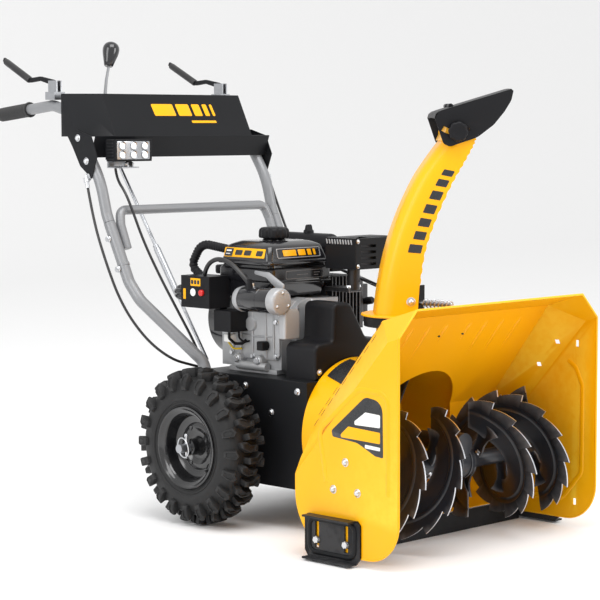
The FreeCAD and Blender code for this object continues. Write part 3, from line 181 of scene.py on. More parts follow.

# edge wear and painted edge highlight: 1 along sharp outer corners, broken up by noise
EDGE_WEAR_AND_HIGHLIGHT, given, given_back = effect("edge_wear_and_painted_highlight",
                                 [("Reach", "NodeSocketFloat", 0.55), ("Breakup", "NodeSocketFloat", 60.0)],
                                 [("Wear and highlight", "NodeSocketFloat")])
shape = EDGE_WEAR_AND_HIGHLIGHT.nodes.new("ShaderNodeNewGeometry")
place = EDGE_WEAR_AND_HIGHLIGHT.nodes.new("ShaderNodeTexCoord")
chips = EDGE_WEAR_AND_HIGHLIGHT.nodes.new("ShaderNodeTexNoise")
EDGE_WEAR_AND_HIGHLIGHT.links.new(place.outputs["Object"], chips.inputs["Vector"])
EDGE_WEAR_AND_HIGHLIGHT.links.new(given.outputs["Breakup"], chips.inputs["Scale"])
sharp = sum_node(EDGE_WEAR_AND_HIGHLIGHT, "SUBTRACT", shape.outputs["Pointiness"], given.outputs["Reach"])
sharp = sum_node(EDGE_WEAR_AND_HIGHLIGHT, "MULTIPLY", sharp, 14.0)
broken = sum_node(EDGE_WEAR_AND_HIGHLIGHT, "MULTIPLY", sharp, chips.outputs["Fac"])
clamp = EDGE_WEAR_AND_HIGHLIGHT.nodes.new("ShaderNodeClamp")
EDGE_WEAR_AND_HIGHLIGHT.links.new(broken, clamp.inputs["Value"])
EDGE_WEAR_AND_HIGHLIGHT.links.new(clamp.outputs[0], given_back.inputs["Wear and highlight"])

# dust: pale haze on what faces up
DUST, given, given_back = effect("settled_dust", [("Amount", "NodeSocketFloat", 0.1)],
                                 [("Dust", "NodeSocketFloat")])
shape = DUST.nodes.new("ShaderNodeNewGeometry")
place = DUST.nodes.new("ShaderNodeTexCoord")
facing = DUST.nodes.new("ShaderNodeSeparateXYZ")
DUST.links.new(shape.outputs["Normal"], facing.inputs[0])
drift = DUST.nodes.new("ShaderNodeTexNoise")
drift.inputs["Scale"].default_value = 18.0
DUST.links.new(place.outputs["Object"], drift.inputs["Vector"])
up = sum_node(DUST, "MAXIMUM", facing.outputs["Z"], 0.0)
laid = sum_node(DUST, "MULTIPLY", up, drift.outputs["Fac"])
laid = sum_node(DUST, "MULTIPLY", laid, given.outputs["Amount"])
DUST.links.new(laid, given_back.inputs["Dust"])


def blend_colour(tree, share, first, second):
    """Mix two colours by a share; each colour is a socket or a tuple."""
    node = tree.nodes.new("ShaderNodeMix")
    node.data_type = "RGBA"
    tree.links.new(share, node.inputs["Factor"])
    for socket, colour in ((node.inputs[6], first), (node.inputs[7], second)):
        if isinstance(colour, tuple):
            socket.default_value = (*colour, 1.0)
        else:
            tree.links.new(colour, socket)
    return node.outputs[2]


SPECK_SIZE = 160.0
DUST_COLOUR = (0.55, 0.53, 0.5)
CLEAR_ROUGH = 0.12


def coat(name, colour, shade=0.8, rough=0.35, rough_spread=0.1, metal=0.0, clear=0.0,
         ripple=(700.0, 0.03, 0.0004), clouds=6.0, edge_wear_and_sheen=None, dust=0.06, gloss=0.5):
    """A finish: a base colour with uneven tone, dust, an optional edge colour for wear and painted highlight,
    and a fine relief.

    ripple is the relief's fineness, its strength and its height in metres. The edge colour goes on sharp
    outer corners: the colour under a worn coat, and on the yellow coat a painted highlight.
    """
    material = bpy.data.materials.new(name)
    material.use_nodes = True
    tree = material.node_tree
    shader = tree.nodes["Principled BSDF"]
    uneven = tree.nodes.new("ShaderNodeGroup")
    uneven.node_tree = UNEVEN
    uneven.inputs["Cloud size"].default_value = clouds
    uneven.inputs["Speck size"].default_value = SPECK_SIZE
    darker = tuple(part * shade for part in colour)
    base = blend_colour(tree, uneven.outputs["Clouds"], darker,
                        tuple(min(1.0, c * (2 - shade)) for c in colour))
    if edge_wear_and_sheen:
        edge = tree.nodes.new("ShaderNodeGroup")
        edge.node_tree = EDGE_WEAR_AND_HIGHLIGHT
        base = blend_colour(tree, edge.outputs["Wear and highlight"], base, edge_wear_and_sheen)
    if dust:
        haze = tree.nodes.new("ShaderNodeGroup")
        haze.node_tree = DUST
        haze.inputs["Amount"].default_value = dust
        base = blend_colour(tree, haze.outputs["Dust"], base, DUST_COLOUR)
    tree.links.new(base, shader.inputs["Base Color"])
    spread = sum_node(tree, "MULTIPLY", uneven.outputs["Specks"], rough_spread)
    tree.links.new(sum_node(tree, "ADD", spread, rough - rough_spread / 2), shader.inputs["Roughness"])
    shader.inputs["Metallic"].default_value = metal
    shader.inputs["Specular IOR Level"].default_value = gloss
    shader.inputs["Coat Weight"].default_value = clear
    shader.inputs["Coat Roughness"].default_value = CLEAR_ROUGH
    fine = tree.nodes.new("ShaderNodeTexNoise")
    fine.inputs["Scale"].default_value = ripple[0]
    fine.inputs["Detail"].default_value = 3.0
    spot = tree.nodes.new("ShaderNodeTexCoord")
    tree.links.new(spot.outputs["Object"], fine.inputs["Vector"])
    bump = tree.nodes.new("ShaderNodeBump")
    bump.inputs["Strength"].default_value = ripple[1]
    bump.inputs["Distance"].default_value = ripple[2]
    tree.links.new(fine.outputs["Fac"], bump.inputs["Height"])
    tree.links.new(bump.outputs["Normal"], shader.inputs["Normal"])
    return material


# the yellow's edge colour is lighter than the coat itself: a painted highlight along bends and corners
YELLOW = coat("yellow_powder_coat", (0.90, 0.425, 0.0), shade=0.96, rough=0.36, rough_spread=0.08,
              clear=0.1, ripple=(420.0, 0.1, 0.0006), edge_wear_and_sheen=(0.95, 0.56, 0.03), dust=0.0, gloss=0.28)
# a darker copy of the same yellow coat for the bent sheet and its ribs: painted shade inside the housing
YELLOW_SHADED = coat("yellow_powder_coat_painted_shade", (0.88, 0.385, 0.0), shade=0.94, rough=0.38,
                     rough_spread=0.1, clear=0.08, ripple=(420.0, 0.1, 0.0006), dust=0.0, gloss=0.28)

# ------------------------------------------------------------ auger housing
# The open box round the auger: one bent sheet over the top, down the sloping back wall and round the trough,
# welded to a shaped end plate each side. The plates fold in at the shoulder and at the rear cheek.


def smooth_by(mesh, degrees=32):
    """Smooth shading with creases where the surface turns by more than an angle."""
    mesh.shade_smooth()
    mesh.set_sharp_from_angle(angle=math.radians(degrees))
    return mesh


def softened(node, body, finish, slot, width=0.6, angle=28, segments=2):
    """A drawn part with its corners broken: welded, its flats joined, and a bevel on every hard edge."""
    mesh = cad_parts[node].data.copy()
    mesh.materials.clear()
    bm = bmesh.new()
    bm.from_mesh(mesh)
    bmesh.ops.remove_doubles(bm, verts=bm.verts, dist=2e-6)
    bmesh.ops.dissolve_limit(bm, angle_limit=math.radians(0.6), verts=bm.verts, edges=bm.edges)
    bm.to_mesh(mesh)
    bm.free()
    for face in mesh.polygons:
        face.material_index = 0
    mesh.name = node + "_finished"
    smooth_by(mesh, 30)
    piece = shown(node + "_finished", mesh, body, finish, slot, node)
    bevel = piece.modifiers.new("broken_corners", "BEVEL")
    bevel.width = width * MM
    bevel.segments = segments
    bevel.limit_method = "ANGLE"
    bevel.angle_limit = math.radians(angle)
    bevel.use_clamp_overlap = True
    bevel.harden_normals = True
    return piece


# the bent sheet takes the darker yellow: painted shade
softened("auger_housing_shell", "chassis", YELLOW_SHADED, "housing_yellow", width=0.7)
for side in ("right", "left"):
    softened("side_plate_" + side, "chassis", YELLOW, "housing_yellow", width=1.0, angle=12, segments=3)

# ------------------------------------------------------------ drum
# The round drum behind the box, where the impeller turns, with the tower that the chute stands on. It is
# rolled from the same coated sheet and welded to the box's back wall.

softened("impeller_drum", "chassis", YELLOW, "housing_yellow", width=0.8)

# ------------------------------------------------------------ auger
# On each side two toothed steel ribbons wind in towards the gearbox, carried on short arms from a tube that
# slides on the shaft. The faces are painted black; the teeth's rims carry pale metal, a painted glint along
# the blade edges.

AUGER_PAINT = coat("auger_paint", (0.012, 0.013, 0.017), shade=0.7, rough=0.36, rough_spread=0.16,
                   clear=0.25, ripple=(300.0, 0.2, 0.0006), clouds=14.0, edge_wear_and_sheen=(0.2, 0.2, 0.21), dust=0.005,
                   gloss=0.4)
# pale metal on the teeth's rims is a painted glint; the shear bolts take the same metal as their steel
EDGE_GLINT_AND_BOLT_STEEL = coat("edge_glint_and_bolt_steel", (0.62, 0.63, 0.66), shade=0.8, rough=0.3, rough_spread=0.2, metal=1.0,
                 clouds=60.0)
STEEL = coat("machined_steel", (0.42, 0.43, 0.45), shade=0.8, rough=0.38, rough_spread=0.16, metal=1.0,
             clouds=30.0)
AUGER_Y = -524
AUGER_Z = 166
AUGER_AT = at(0, AUGER_Y, AUGER_Z)
RIBBON_FROM = 58.0
RIBBON_TO = 272.0
RIBBON_WIND = 350.0
RIBBON_INNER = 54.0
TOOTH_TIP = 135.8
TOOTH_ROOT = 121.0
TEETH = 14
STEPS_PER_TOOTH = 8


def mesh_of(name, corners, faces, degrees=32):
    """A mesh from corners and faces."""
    mesh = bpy.data.meshes.new(name)
    mesh.from_pydata([tuple(corner) for corner in corners], [], [tuple(face) for face in faces])
    mesh.validate()
    return smooth_by(mesh, degrees)


def skinned(name, corners, faces, degrees=32, weld=0.0, glint_faces=()):
    """A mesh with its faces turned outwards; the listed edge faces take the second finish, on the auger a
    painted glint.
    """
    bm = bmesh.new()
    points = [bm.verts.new(corner) for corner in corners]
    made = [bm.faces.new([points[i] for i in face]) for face in faces]
    for number in glint_faces:
        made[number].material_index = 1
    if weld:
        bmesh.ops.remove_doubles(bm, verts=bm.verts, dist=weld)
    bmesh.ops.recalc_face_normals(bm, faces=bm.faces)
    mesh = bpy.data.meshes.new(name)
    bm.to_mesh(mesh)
    bm.free()
    return smooth_by(mesh, degrees)


def bands(rings, count, looped=True, closed=False):
    """Faces between rings of corners; looped joins a ring's ends, closed joins the last ring to the first."""
    faces = []
    for ring in range(rings if closed else rings - 1):
        low = ring * count
        high = (ring + 1) % rings * count
        for step in range(count if looped else count - 1):
            other = (step + 1) % count
            faces.append((low + step, low + other, high + other, high + step))
    return faces


def turned_profile(name, profile, origin, axis, count=64, closed=False, degrees=32):
    """A turned part: profile is (distance along the axis, radius) in millimetres from an origin."""
    way = Vector(axis).normalized()
    across = way.orthogonal().normalized()
    up = way.cross(across)
    corners = []
    for index in range(count):
        turn = math.tau * index / count
        spoke = across * math.cos(turn) + up * math.sin(turn)
        corners += [origin + (way * along + spoke * radius) * MM for along, radius in profile]
    faces = bands(count, len(profile), looped=closed, closed=True)
    return skinned(name, corners, faces, degrees, weld=1e-6)


def merged(name, meshes, degrees=None):
    """Several meshes in one, each keeping its own material number."""
    bm = bmesh.new()
    for mesh in meshes:
        bm.from_mesh(mesh)
    whole = bpy.data.meshes.new(name)
    bm.to_mesh(whole)
    bm.free()
    if degrees is not None:
        smooth_by(whole, degrees)
    return whole


def numbered(mesh, number):
    """Give every face of a mesh one material number."""
    for face in mesh.polygons:
        face.material_index = number
    return mesh


def hex_bolt(name, centre, axis, width=13, height=5.5, washer=9.0, dome=False):
    """A flanged bolt head, or a dome head, standing on its washer; centre is on the surface."""
    way = Vector(axis).normalized()
    across = way.orthogonal().normalized()
    up = way.cross(across)
    if dome:
        rise = [(0, washer), (0.9, washer), (1.2, washer - 0.6), (1.6, width / 2)]
        rise += [(1.6 + height * math.sin(math.radians(a)), width / 2 * math.cos(math.radians(a))) for a in
                 (15, 32, 50, 68, 82)] + [(1.6 + height, 0.0)]
        return turned_profile(name, rise, centre, way, count=24)
    flange = turned_profile(name + "_flange",
                            [(0, 0), (0, washer), (1.2, washer - 0.3), (2.4, width / 2 + 0.6), (2.4, 0)],
                            centre, way, count=24)
    corners = []
    for rise, share in ((2.0, 1.0), (height - 0.8, 1.0), (height, 0.9)):
        for index in range(6):
            turn = math.tau * index / 6
            spoke = across * math.cos(turn) + up * math.sin(turn)
            corners.append(centre + (way * rise + spoke * (width / math.sqrt(3) * share)) * MM)
    faces = bands(3, 6) + [tuple(range(12, 18))]
    return merged(name, [flange, mesh_of(name + "_head", corners, faces, 20)])


def auger_point(side, along, radius, degrees, lift=0.0):
    """A point on one side's auger: along the shaft from the middle, out from it, and round it."""
    turn = math.radians(degrees)
    return AUGER_AT + Vector((side * (along + lift), radius * math.sin(turn),
                              -side * radius * math.cos(turn))) * MM


def ribbon_mesh(name, side, phase):
    """One flight: a twisted band with a saw-toothed rim, a pressed bead and its two faces."""
    beads = [(0.0, 0.0), (0.25, 0.0), (0.5, 0.0), (0.58, 0.0), (0.62, 2.2), (0.67, 3.0), (0.72, 2.2),
             (0.76, 0.0), (1.0, 0.0)]
    corners = []
    faces = []
    rim = []
    stations = []
    columns = TEETH * STEPS_PER_TOOTH
    for column in range(columns + 1):
        within = (column % STEPS_PER_TOOTH) / (STEPS_PER_TOOTH - 1)
        share = (column - (column % STEPS_PER_TOOTH) + within * STEPS_PER_TOOTH * 0.985) / columns
        stations.append((min(share, 1.0), TOOTH_ROOT + (TOOTH_TIP - TOOTH_ROOT) * within ** 0.9))
    for share, outer in stations:
        along = RIBBON_FROM + (RIBBON_TO - RIBBON_FROM) * share
        angle = phase + side * RIBBON_WIND * share
        taper = min(1.0, 8 * share + 0.35, 8 * (1 - share) + 0.35)
        inner = RIBBON_INNER + (1 - taper) * 22
        for lift in (1.7, -1.7):
            for part, rise in beads:
                reach = outer if part in (0.0, 1.0) else TOOTH_ROOT
                radius = inner + (reach - inner) * part
                corners.append(auger_point(side, along, radius, angle, lift + rise * taper))
    wide = len(beads)
    for column in range(len(stations) - 1):
        here = column * 2 * wide
        there = here + 2 * wide
        for row in range(wide - 1):
            faces.append((here + row, here + row + 1, there + row + 1, there + row))
            faces.append((here + wide + row + 1, here + wide + row, there + wide + row,
                          there + wide + row + 1))
        faces.append((here, there, there + wide, here + wide))
        rim.append(len(faces))
        faces.append((here + wide - 1, here + 2 * wide - 1, there + 2 * wide - 1, there + wide - 1))
    last = (len(stations) - 1) * 2 * wide
    for start in (0, last):
        for row in range(wide - 1):
            faces.append((start + row, start + row + 1, start + wide + row + 1, start + wide + row))
    return skinned(name, corners, faces, 30, glint_faces=rim)


def auger_arm(name, side, along, degrees):
    """A pressed arm from the tube out to the ribbon: waisted, dished and rounded where it meets the band."""
    corners = []
    faces = []
    outline = [(14, 20), (26, 15), (40, 12), (56, 15), (70, 24), (82, 34)]
    for lift in (2.6, -2.6):
        for radius, half in outline:
            for share in (-1.0, -0.5, 0.0, 0.5, 1.0):
                spread = math.degrees(half * share / max(radius, 20))
                dish = 5.0 * (1 - share * share) * math.sin(math.pi * (radius - 14) / 68)
                corners.append(auger_point(side, along, radius, degrees + spread, lift + dish))
    rows = len(outline)
    for layer in (0, 1):
        base = layer * rows * 5
        for row in range(rows - 1):
            for column in range(4):
                quad = (base + row * 5 + column, base + row * 5 + column + 1,
                        base + (row + 1) * 5 + column + 1, base + (row + 1) * 5 + column)
                faces.append(quad if layer else quad[::-1])
    other = rows * 5
    for row in range(rows - 1):
        for column in (0, 4):
            faces.append((row * 5 + column, (row + 1) * 5 + column, other + (row + 1) * 5 + column,
                          other + row * 5 + column))
    for row in (0, rows - 1):
        for column in range(4):
            faces.append((row * 5 + column, row * 5 + column + 1, other + row * 5 + column + 1,
                          other + row * 5 + column))
    return skinned(name, corners, faces, 40)


for label, side in (("right", -1), ("left", 1)):
    flights = [ribbon_mesh(f"ribbon_{label}_{phase}", side, phase) for phase in (0, 180)]
    arms = []
    for phase in (0, 180):
        for share in (0.08, 0.5, 0.92):
            arms.append(auger_arm("arm", side, RIBBON_FROM + (RIBBON_TO - RIBBON_FROM) * share,
                                  phase + side * RIBBON_WIND * share))
    tube_profile = [(44, 12.6), (44, 17), (46, 17.6), (294, 17.6), (296, 17), (296, 12.6)]
    core = turned_profile("tube", tube_profile, AUGER_AT, (side, 0, 0), count=40)
    collars = [turned_profile("collar",
                              [(a, 17), (a, 24), (a + 1, 25), (a + 9, 25), (a + 10, 24), (a + 10, 17)],
                              AUGER_AT, (side, 0, 0), count=40) for a in (46, 284)]
    shear = []
    for turn in (40, 220):
        spot = auger_point(side, 78, 17, turn)
        way = spot - AUGER_AT - Vector((side * 78 * MM, 0, 0))
        shear.append(numbered(hex_bolt("shear_bolt", spot, way, width=12, height=7, washer=8), 1))
    shown("auger_" + label + "_ribbons",
          merged("auger_" + label, flights + arms + [core] + collars + shear, 30), "auger",
          [AUGER_PAINT, EDGE_GLINT_AND_BOLT_STEEL], "auger_black", "auger_" + label)

CAST_ALUMINIUM = coat("cast_aluminium", (0.40, 0.405, 0.415), shade=0.78, rough=0.46, rough_spread=0.2,
                      metal=0.4, clouds=14.0, ripple=(380.0, 0.5, 0.0009), dust=0.0)
softened("gearbox_case", "chassis", AUGER_PAINT, "aluminium_cast", width=2.0)
seams = []
for x in (-30.0, 0.0, 30.0):
    seams.append(turned_profile("gear_rib", [(x - 2, 33.6), (x - 1.5, 36), (x + 1.5, 36), (x + 2, 33.6)],
                                AUGER_AT, (1, 0, 0), count=48))
for turn in range(6):
    angle = math.radians(60 * turn + 20)
    for x in (-40, 40):
        seams.append(hex_bolt("gear_bolt",
                              AUGER_AT + Vector((x, 27 * math.cos(angle), 27 * math.sin(angle))) * MM,
                              (x, 0, 0), width=8, height=4, washer=5.5))
shown("gearbox_details", merged("gearbox_details", seams, 30), "chassis", AUGER_PAINT, "aluminium_cast")
softened("auger_shaft", "auger", STEEL, "steel", width=0.6)

# ------------------------------------------------------------ wheels
# Pneumatic snow tyres with deep two-piece lugs on pressed and welded steel rims. A ring linchpin through the
# axle's end locks each wheel.

TYRE_RUBBER = coat("tyre_rubber", (0.0105, 0.0105, 0.011), shade=0.75, rough=0.55, rough_spread=0.2,
                   clouds=10.0, ripple=(500.0, 0.45, 0.0007), edge_wear_and_sheen=(0.03, 0.03, 0.031), dust=0.012,
                   gloss=0.35)
RIM_PAINT = coat("rim_gloss_black", (0.008, 0.008, 0.009), rough=0.16, rough_spread=0.06, clear=0.6,
                 ripple=(380.0, 0.1, 0.0006), dust=0.01)
ZINC = coat("zinc_plate", (0.62, 0.63, 0.65), shade=0.85, rough=0.3, rough_spread=0.16, metal=1.0,
            clouds=40.0, ripple=(500.0, 0.15, 0.0004))
WHEEL_MIDDLE = 219.0
WHEEL_Z = 171
PITCHES = 20
TREAD_HALF = 41.0
SHOULDER_RADIUS = 118.0
CROWN_RISE = 33.0
CROWN_SQUARE = 0.7
LUG_TALL = 19.0
LUG_FALL = 13.0


def crown(share):
    """A point of the tread's cross section, from one shoulder (-1) to the other (1): across and radius."""
    turn = share * math.pi / 2
    across = TREAD_HALF * math.copysign(abs(math.sin(turn)) ** CROWN_SQUARE, turn)
    return Vector((across, SHOULDER_RADIUS + CROWN_RISE * abs(math.cos(turn)) ** CROWN_SQUARE))


def tread_point(share, degrees, height):
    """Out from the tread by a height, in (across, depth, up) about the axle."""
    near = crown(share)
    ahead = crown(min(share + 0.02, 1.0)) - crown(max(share - 0.02, -1.0))
    outward = Vector((-ahead.y, ahead.x)).normalized()
    spot = near + outward * height
    turn = math.radians(degrees)
    return Vector((spot.x, spot.y * math.sin(turn), spot.y * math.cos(turn)))


def lug(bm, outline, middle_degrees, to_world):
    """One lug: a tapered block that follows the crown, with a chamfered top and a sunken pocket."""
    mid_share = sum(share for share, _ in outline) / len(outline)
    mid_turn = sum(turn for _, turn in outline) / len(outline)
    levels = []
    for height, scale in ((-3.0, 1.12), (0.86, 0.98), (1.0, 0.86), (1.0, 0.6), (0.87, 0.54)):
        ring = []
        for share, turn in outline:
            s = mid_share + (share - mid_share) * scale
            t = mid_turn + (turn - mid_turn) * scale
            tall = LUG_TALL - LUG_FALL * abs(s) ** 2.2
            rise = height if height < 0 else tall * height
            ring.append(bm.verts.new(to_world(tread_point(s, middle_degrees + t * 360 / PITCHES, rise))))
        levels.append(ring)
    count = len(outline)
    for low, high in zip(levels, levels[1:]):
        for index in range(count):
            following = (index + 1) % count
            bm.faces.new((low[index], low[following], high[following], high[index]))
    bm.faces.new(levels[-1])


SHOULDER_LUG = [(0.93, -0.17), (0.68, -0.2), (0.46, -0.2), (0.38, -0.04), (0.46, 0.18), (0.68, 0.2),
                (0.93, 0.17)]
CENTRE_LUG = [(-0.10, -0.24), (0.10, -0.26), (0.31, -0.06), (0.33, 0.17), (0.17, 0.19), (0.03, 0.02),
              (-0.12, 0.02)]


def tyre_mesh(name, side):
    """A whole tyre: the carcass, its bead rings and the lugs."""

    def to_world(point):
        return at(side * (WHEEL_MIDDLE + point.x), point.y, WHEEL_Z + point.z)

    section = [(34, 88), (40, 90), (43.0, 96), (45.5, 104), (46.0, 112)]
    section += [tuple(crown(share / 10)) for share in range(9, -10, -1)]
    section += [(-46.0, 112), (-45.5, 104), (-43, 96), (-40, 90), (-34, 88)]
    carcass = turned_profile("carcass", [(WHEEL_MIDDLE + across, radius) for across, radius in section],
                             at(0, 0, WHEEL_Z), (side, 0, 0), count=96, degrees=60)
    rings = []
    for radius, proud in ((91.5, 41.5), (100.0, 45.2)):
        bead = [(WHEEL_MIDDLE + proud - 0.5, radius - 1.6), (WHEEL_MIDDLE + proud + 1.0, radius - 0.6),
                (WHEEL_MIDDLE + proud + 1.0, radius + 0.6), (WHEEL_MIDDLE + proud - 0.5, radius + 1.6)]
        rings.append(turned_profile("bead_ring", bead, at(0, 0, WHEEL_Z), (side, 0, 0), count=96))
    bm = bmesh.new()
    for pitch in range(PITCHES):
        degrees = 360 * pitch / PITCHES
        lug(bm, SHOULDER_LUG, degrees, to_world)
        lug(bm, [(-share, turn) for share, turn in SHOULDER_LUG], degrees + 180 / PITCHES, to_world)
        lug(bm, CENTRE_LUG, degrees + 120 / PITCHES, to_world)
        lug(bm, [(-share, turn) for share, turn in CENTRE_LUG], degrees + 300 / PITCHES, to_world)
    bmesh.ops.recalc_face_normals(bm, faces=bm.faces)
    lugs = bpy.data.meshes.new("lugs")
    bm.to_mesh(lugs)
    bm.free()
    smooth_by(lugs, 25)
    return merged(name, [carcass, lugs] + rings)


def rim_mesh(name, side):
    """A pressed rim: rolled flange, bead seat, dished disc with a step, and the hub tube."""
    section = [(28, 79), (35, 80), (38.5, 84), (42, 88.5), (44.5, 89.5), (46, 88.0), (45.5, 85.5),
               (43, 82.5), (40, 79.5), (38.5, 75), (34, 72), (20, 70), (12, 66), (8, 58), (7, 52), (9, 47),
               (9, 40), (5, 33), (3, 27), (4, 21), (10, 18.5), (34, 17.6), (35, 16.5), (35, 9.7)]
    return turned_profile(name, [(WHEEL_MIDDLE + across, radius) for across, radius in section],
                          at(0, 0, WHEEL_Z), (side, 0, 0), count=96, degrees=28)


def rim_back_mesh(name, side):
    """The rim's inner barrel and its inner flange."""
    section = [(-45, 9.7), (-45, 17), (-2, 19), (0, 30), (3, 46), (3, 60), (8, 68), (14, 72), (-30, 74),
               (-37, 80), (-42, 88), (-44.5, 89.5), (-46, 88), (-44, 84), (-40, 80), (-34, 77), (28, 77.5),
               (28, 79)]
    return turned_profile(name, [(WHEEL_MIDDLE + across, radius) for across, radius in section],
                          at(0, 0, WHEEL_Z), (side, 0, 0), count=96, degrees=28)


for label, side in (("right", -1), ("left", 1)):
    shown("tyre_" + label, tyre_mesh("tyre_" + label, side), "wheels", TYRE_RUBBER, "tyre_rubber",
          "tire_" + label)
    parts = [rim_mesh("rim", side), rim_back_mesh("rim_back", side)]
    for turn in range(3):
        angle = math.radians(120 * turn + 30)
        spot = at(side * (WHEEL_MIDDLE + 9), 43.5 * math.sin(angle), WHEEL_Z + 43.5 * math.cos(angle))
        parts.append(turned_profile("rivet", [(0, 5.5), (1.5, 5.2), (2.6, 3.5), (3.0, 0)], spot,
                                    (side, 0, 0), count=20))
    valve_at = at(side * (WHEEL_MIDDLE + 22), -52, WHEEL_Z - 36)
    parts.append(turned_profile("valve",
                                [(0, 5), (6, 4.2), (20, 3.6), (21, 2.6), (30, 2.6), (31, 1.8), (31, 0)],
                                valve_at, (side * 0.8, -0.45, -0.3), count=16))
    shown("rim_" + label + "_pressed", merged("rim_" + label, parts), "wheels", RIM_PAINT, "frame_black",
          "rim_" + label)

softened("wheel_axle", "wheels", STEEL, "steel", width=0.8)
pins = []
for side in (-1, 1):
    middle = at(side * 266.5, 0, WHEEL_Z)
    pins.append(turned_profile("pin",
                               [(-23, 0), (-23, 2.2), (-21, 3), (22, 3), (23, 4.6), (29, 4.6), (30.5, 3.0),
                                (30.5, 0)], at(side * 260, 0, WHEEL_Z), (0, 0, 1), count=20))
    loop = []
    for step in range(40):
        turn = math.tau * step / 40
        loop.append(middle
                    + Vector((side * (2.5 + 4.5 * math.cos(turn + 0.9)), 20.5 * math.sin(turn),
                              21.5 * math.cos(turn) + 1)) * MM)
    circles = []
    for index, spot in enumerate(loop):
        along_loop = (loop[(index + 1) % 40] - loop[index - 1]).normalized()
        out = (spot - middle).normalized()
        across = along_loop.cross(out).normalized()
        for step in range(10):
            turn = math.tau * step / 10
            circles.append(spot + (out * math.cos(turn) + across * math.sin(turn)) * 1.7 * MM)
    pins.append(skinned("ring", circles, bands(40, 10, closed=True), 60))
shown("linchpins_and_rings", merged("linchpins", pins), "wheels", ZINC, "zinc", "linchpins")

# ------------------------------------------------------------ housing trim
# A rolled hem runs round the mouth. The end plates carry pressed beads, a printed panel and the seam where
# their tabs go through the bent sheet; the back wall has a row of stiffening ribs and two small slots.


def swept(name, route, radius, sides=10, closed=False, flat=1.0, out=None):
    """A bar along a route in metres; its radius in millimetres may be a list.

    flat squashes it along the direction out.
    """
    count = len(route)
    corners = []
    up = None
    for index, spot in enumerate(route):
        if closed:
            way = (route[(index + 1) % count] - route[index - 1]).normalized()
        else:
            way = (route[min(index + 1, count - 1)] - route[max(index - 1, 0)]).normalized()
        if out is not None:
            up = (Vector(out) - way * way.dot(Vector(out))).normalized()
        elif up is None:
            up = way.orthogonal().normalized()
        else:
            up = (up - way * way.dot(up)).normalized()
        across = way.cross(up)
        thick = radius[index] if isinstance(radius, (list, tuple)) else radius
        for side in range(sides):
            turn = math.tau * side / sides
            corners.append(spot + (up * math.sin(turn) * flat + across * math.cos(turn)) * thick * MM)
    faces = bands(count, sides, closed=closed)
    if not closed:
        faces.append(tuple(range(sides)))
        faces.append(tuple((count - 1) * sides + side for side in range(sides)))
    return skinned(name, corners, faces, 60)


def arc_between(middle, first, last, steps):
    """Points on an arc about a middle, from one spoke to another."""
    whole = first.angle(last)
    points = []
    for step in range(steps + 1):
        share = step / steps
        mixed = first * math.sin(whole * (1 - share)) + last * math.sin(whole * share)
        points.append(middle + mixed / math.sin(whole))
    return points


def arc_route(corners, radius, steps=6):
    """An open route in metres through drawn corners, each inner corner rounded by its own radius."""
    points = [Vector(corner) for corner in corners]
    route = [points[0]]
    for index in range(1, len(points) - 1):
        corner = points[index]
        before = points[index - 1] - corner
        after = points[index + 1] - corner
        bend = radius[index - 1] if isinstance(radius, (list, tuple)) else radius
        half = before.angle(after) / 2
        reach = min(bend / math.tan(half), 0.48 * before.length, 0.48 * after.length)
        bend = reach * math.tan(half)
        before.normalize()
        after.normalize()
        middle = corner + (before + after).normalized() * (bend / math.sin(half))
        first = corner + before * reach - middle
        last = corner + after * reach - middle
        route += arc_between(middle, first, last, steps)
    route.append(points[-1])
    return [at(*point) for point in route]


# near-black strips for slots, cuts and vents: painted shadow in the openings
SHADOW_GAP = coat("painted_shadow_gap", (0.006, 0.005, 0.004), rough=0.8, ripple=(200.0, 0.1, 0.0003), dust=0.0)
MOUTH_Y = -664.5
hem_parts = []
for side in (-1, 1):
    x = side * 309.0
    hem_parts.append(swept("hem",
                           arc_route([(x, -470, 18.5), (x, MOUTH_Y, 18.5), (x, MOUTH_Y, 457),
                                      (side * 258.5, MOUTH_Y, 508)], [79, 4], 10), 2.4, 10))
hem_parts.append(swept("hem_top", arc_route([(-258.5, MOUTH_Y, 508), (258.5, MOUTH_Y, 508)], 1), 2.4, 10))
shown("mouth_hem", merged("mouth_hem", hem_parts, 50), "chassis", YELLOW, "housing_yellow")

plate_trim = []
for side, outline in ((-1, [(-470, 160), (-452, 262), (-560, 352), (-637, 348), (-637, 150)]),
                      (1, [(-590, 360), (-611, 346), (-629, 308), (-628, 120), (-573, 57), (-479, 58)])):
    face_x = side * (310.0 if side < 0 else 307.4)
    plate_trim.append(swept("bead", arc_route([(face_x, y, z) for y, z in outline], 26, 8), 5.5, 12,
                            flat=0.28, out=(1, 0, 0)))
shown("plate_beads", merged("plate_beads", plate_trim, 70), "chassis", YELLOW, "housing_yellow")

ribs = []
WALL_DOWN = Vector((0, 169.0, -213.0)).normalized()
WALL_OUT = Vector((0, -0.783, -0.622))
for x in (-214, -150, -99, -46, 27, 79, 132, 188):
    length = 96 if abs(x) > 60 else 52
    start = Vector((x, -556, 459.5)) + WALL_OUT * 2.6
    line = [at(*(start + WALL_DOWN * length * step / 8)) for step in range(9)]
    ribs.append(swept("rib", line, [1.5, 5, 6, 5.5, 5, 4.2, 3.2, 2.0, 0.8], 12, flat=0.3, out=WALL_OUT))
# the ribs take the darker yellow too: painted shade
shown("wall_ribs", merged("wall_ribs", ribs, 70), "chassis", YELLOW_SHADED, "housing_yellow")
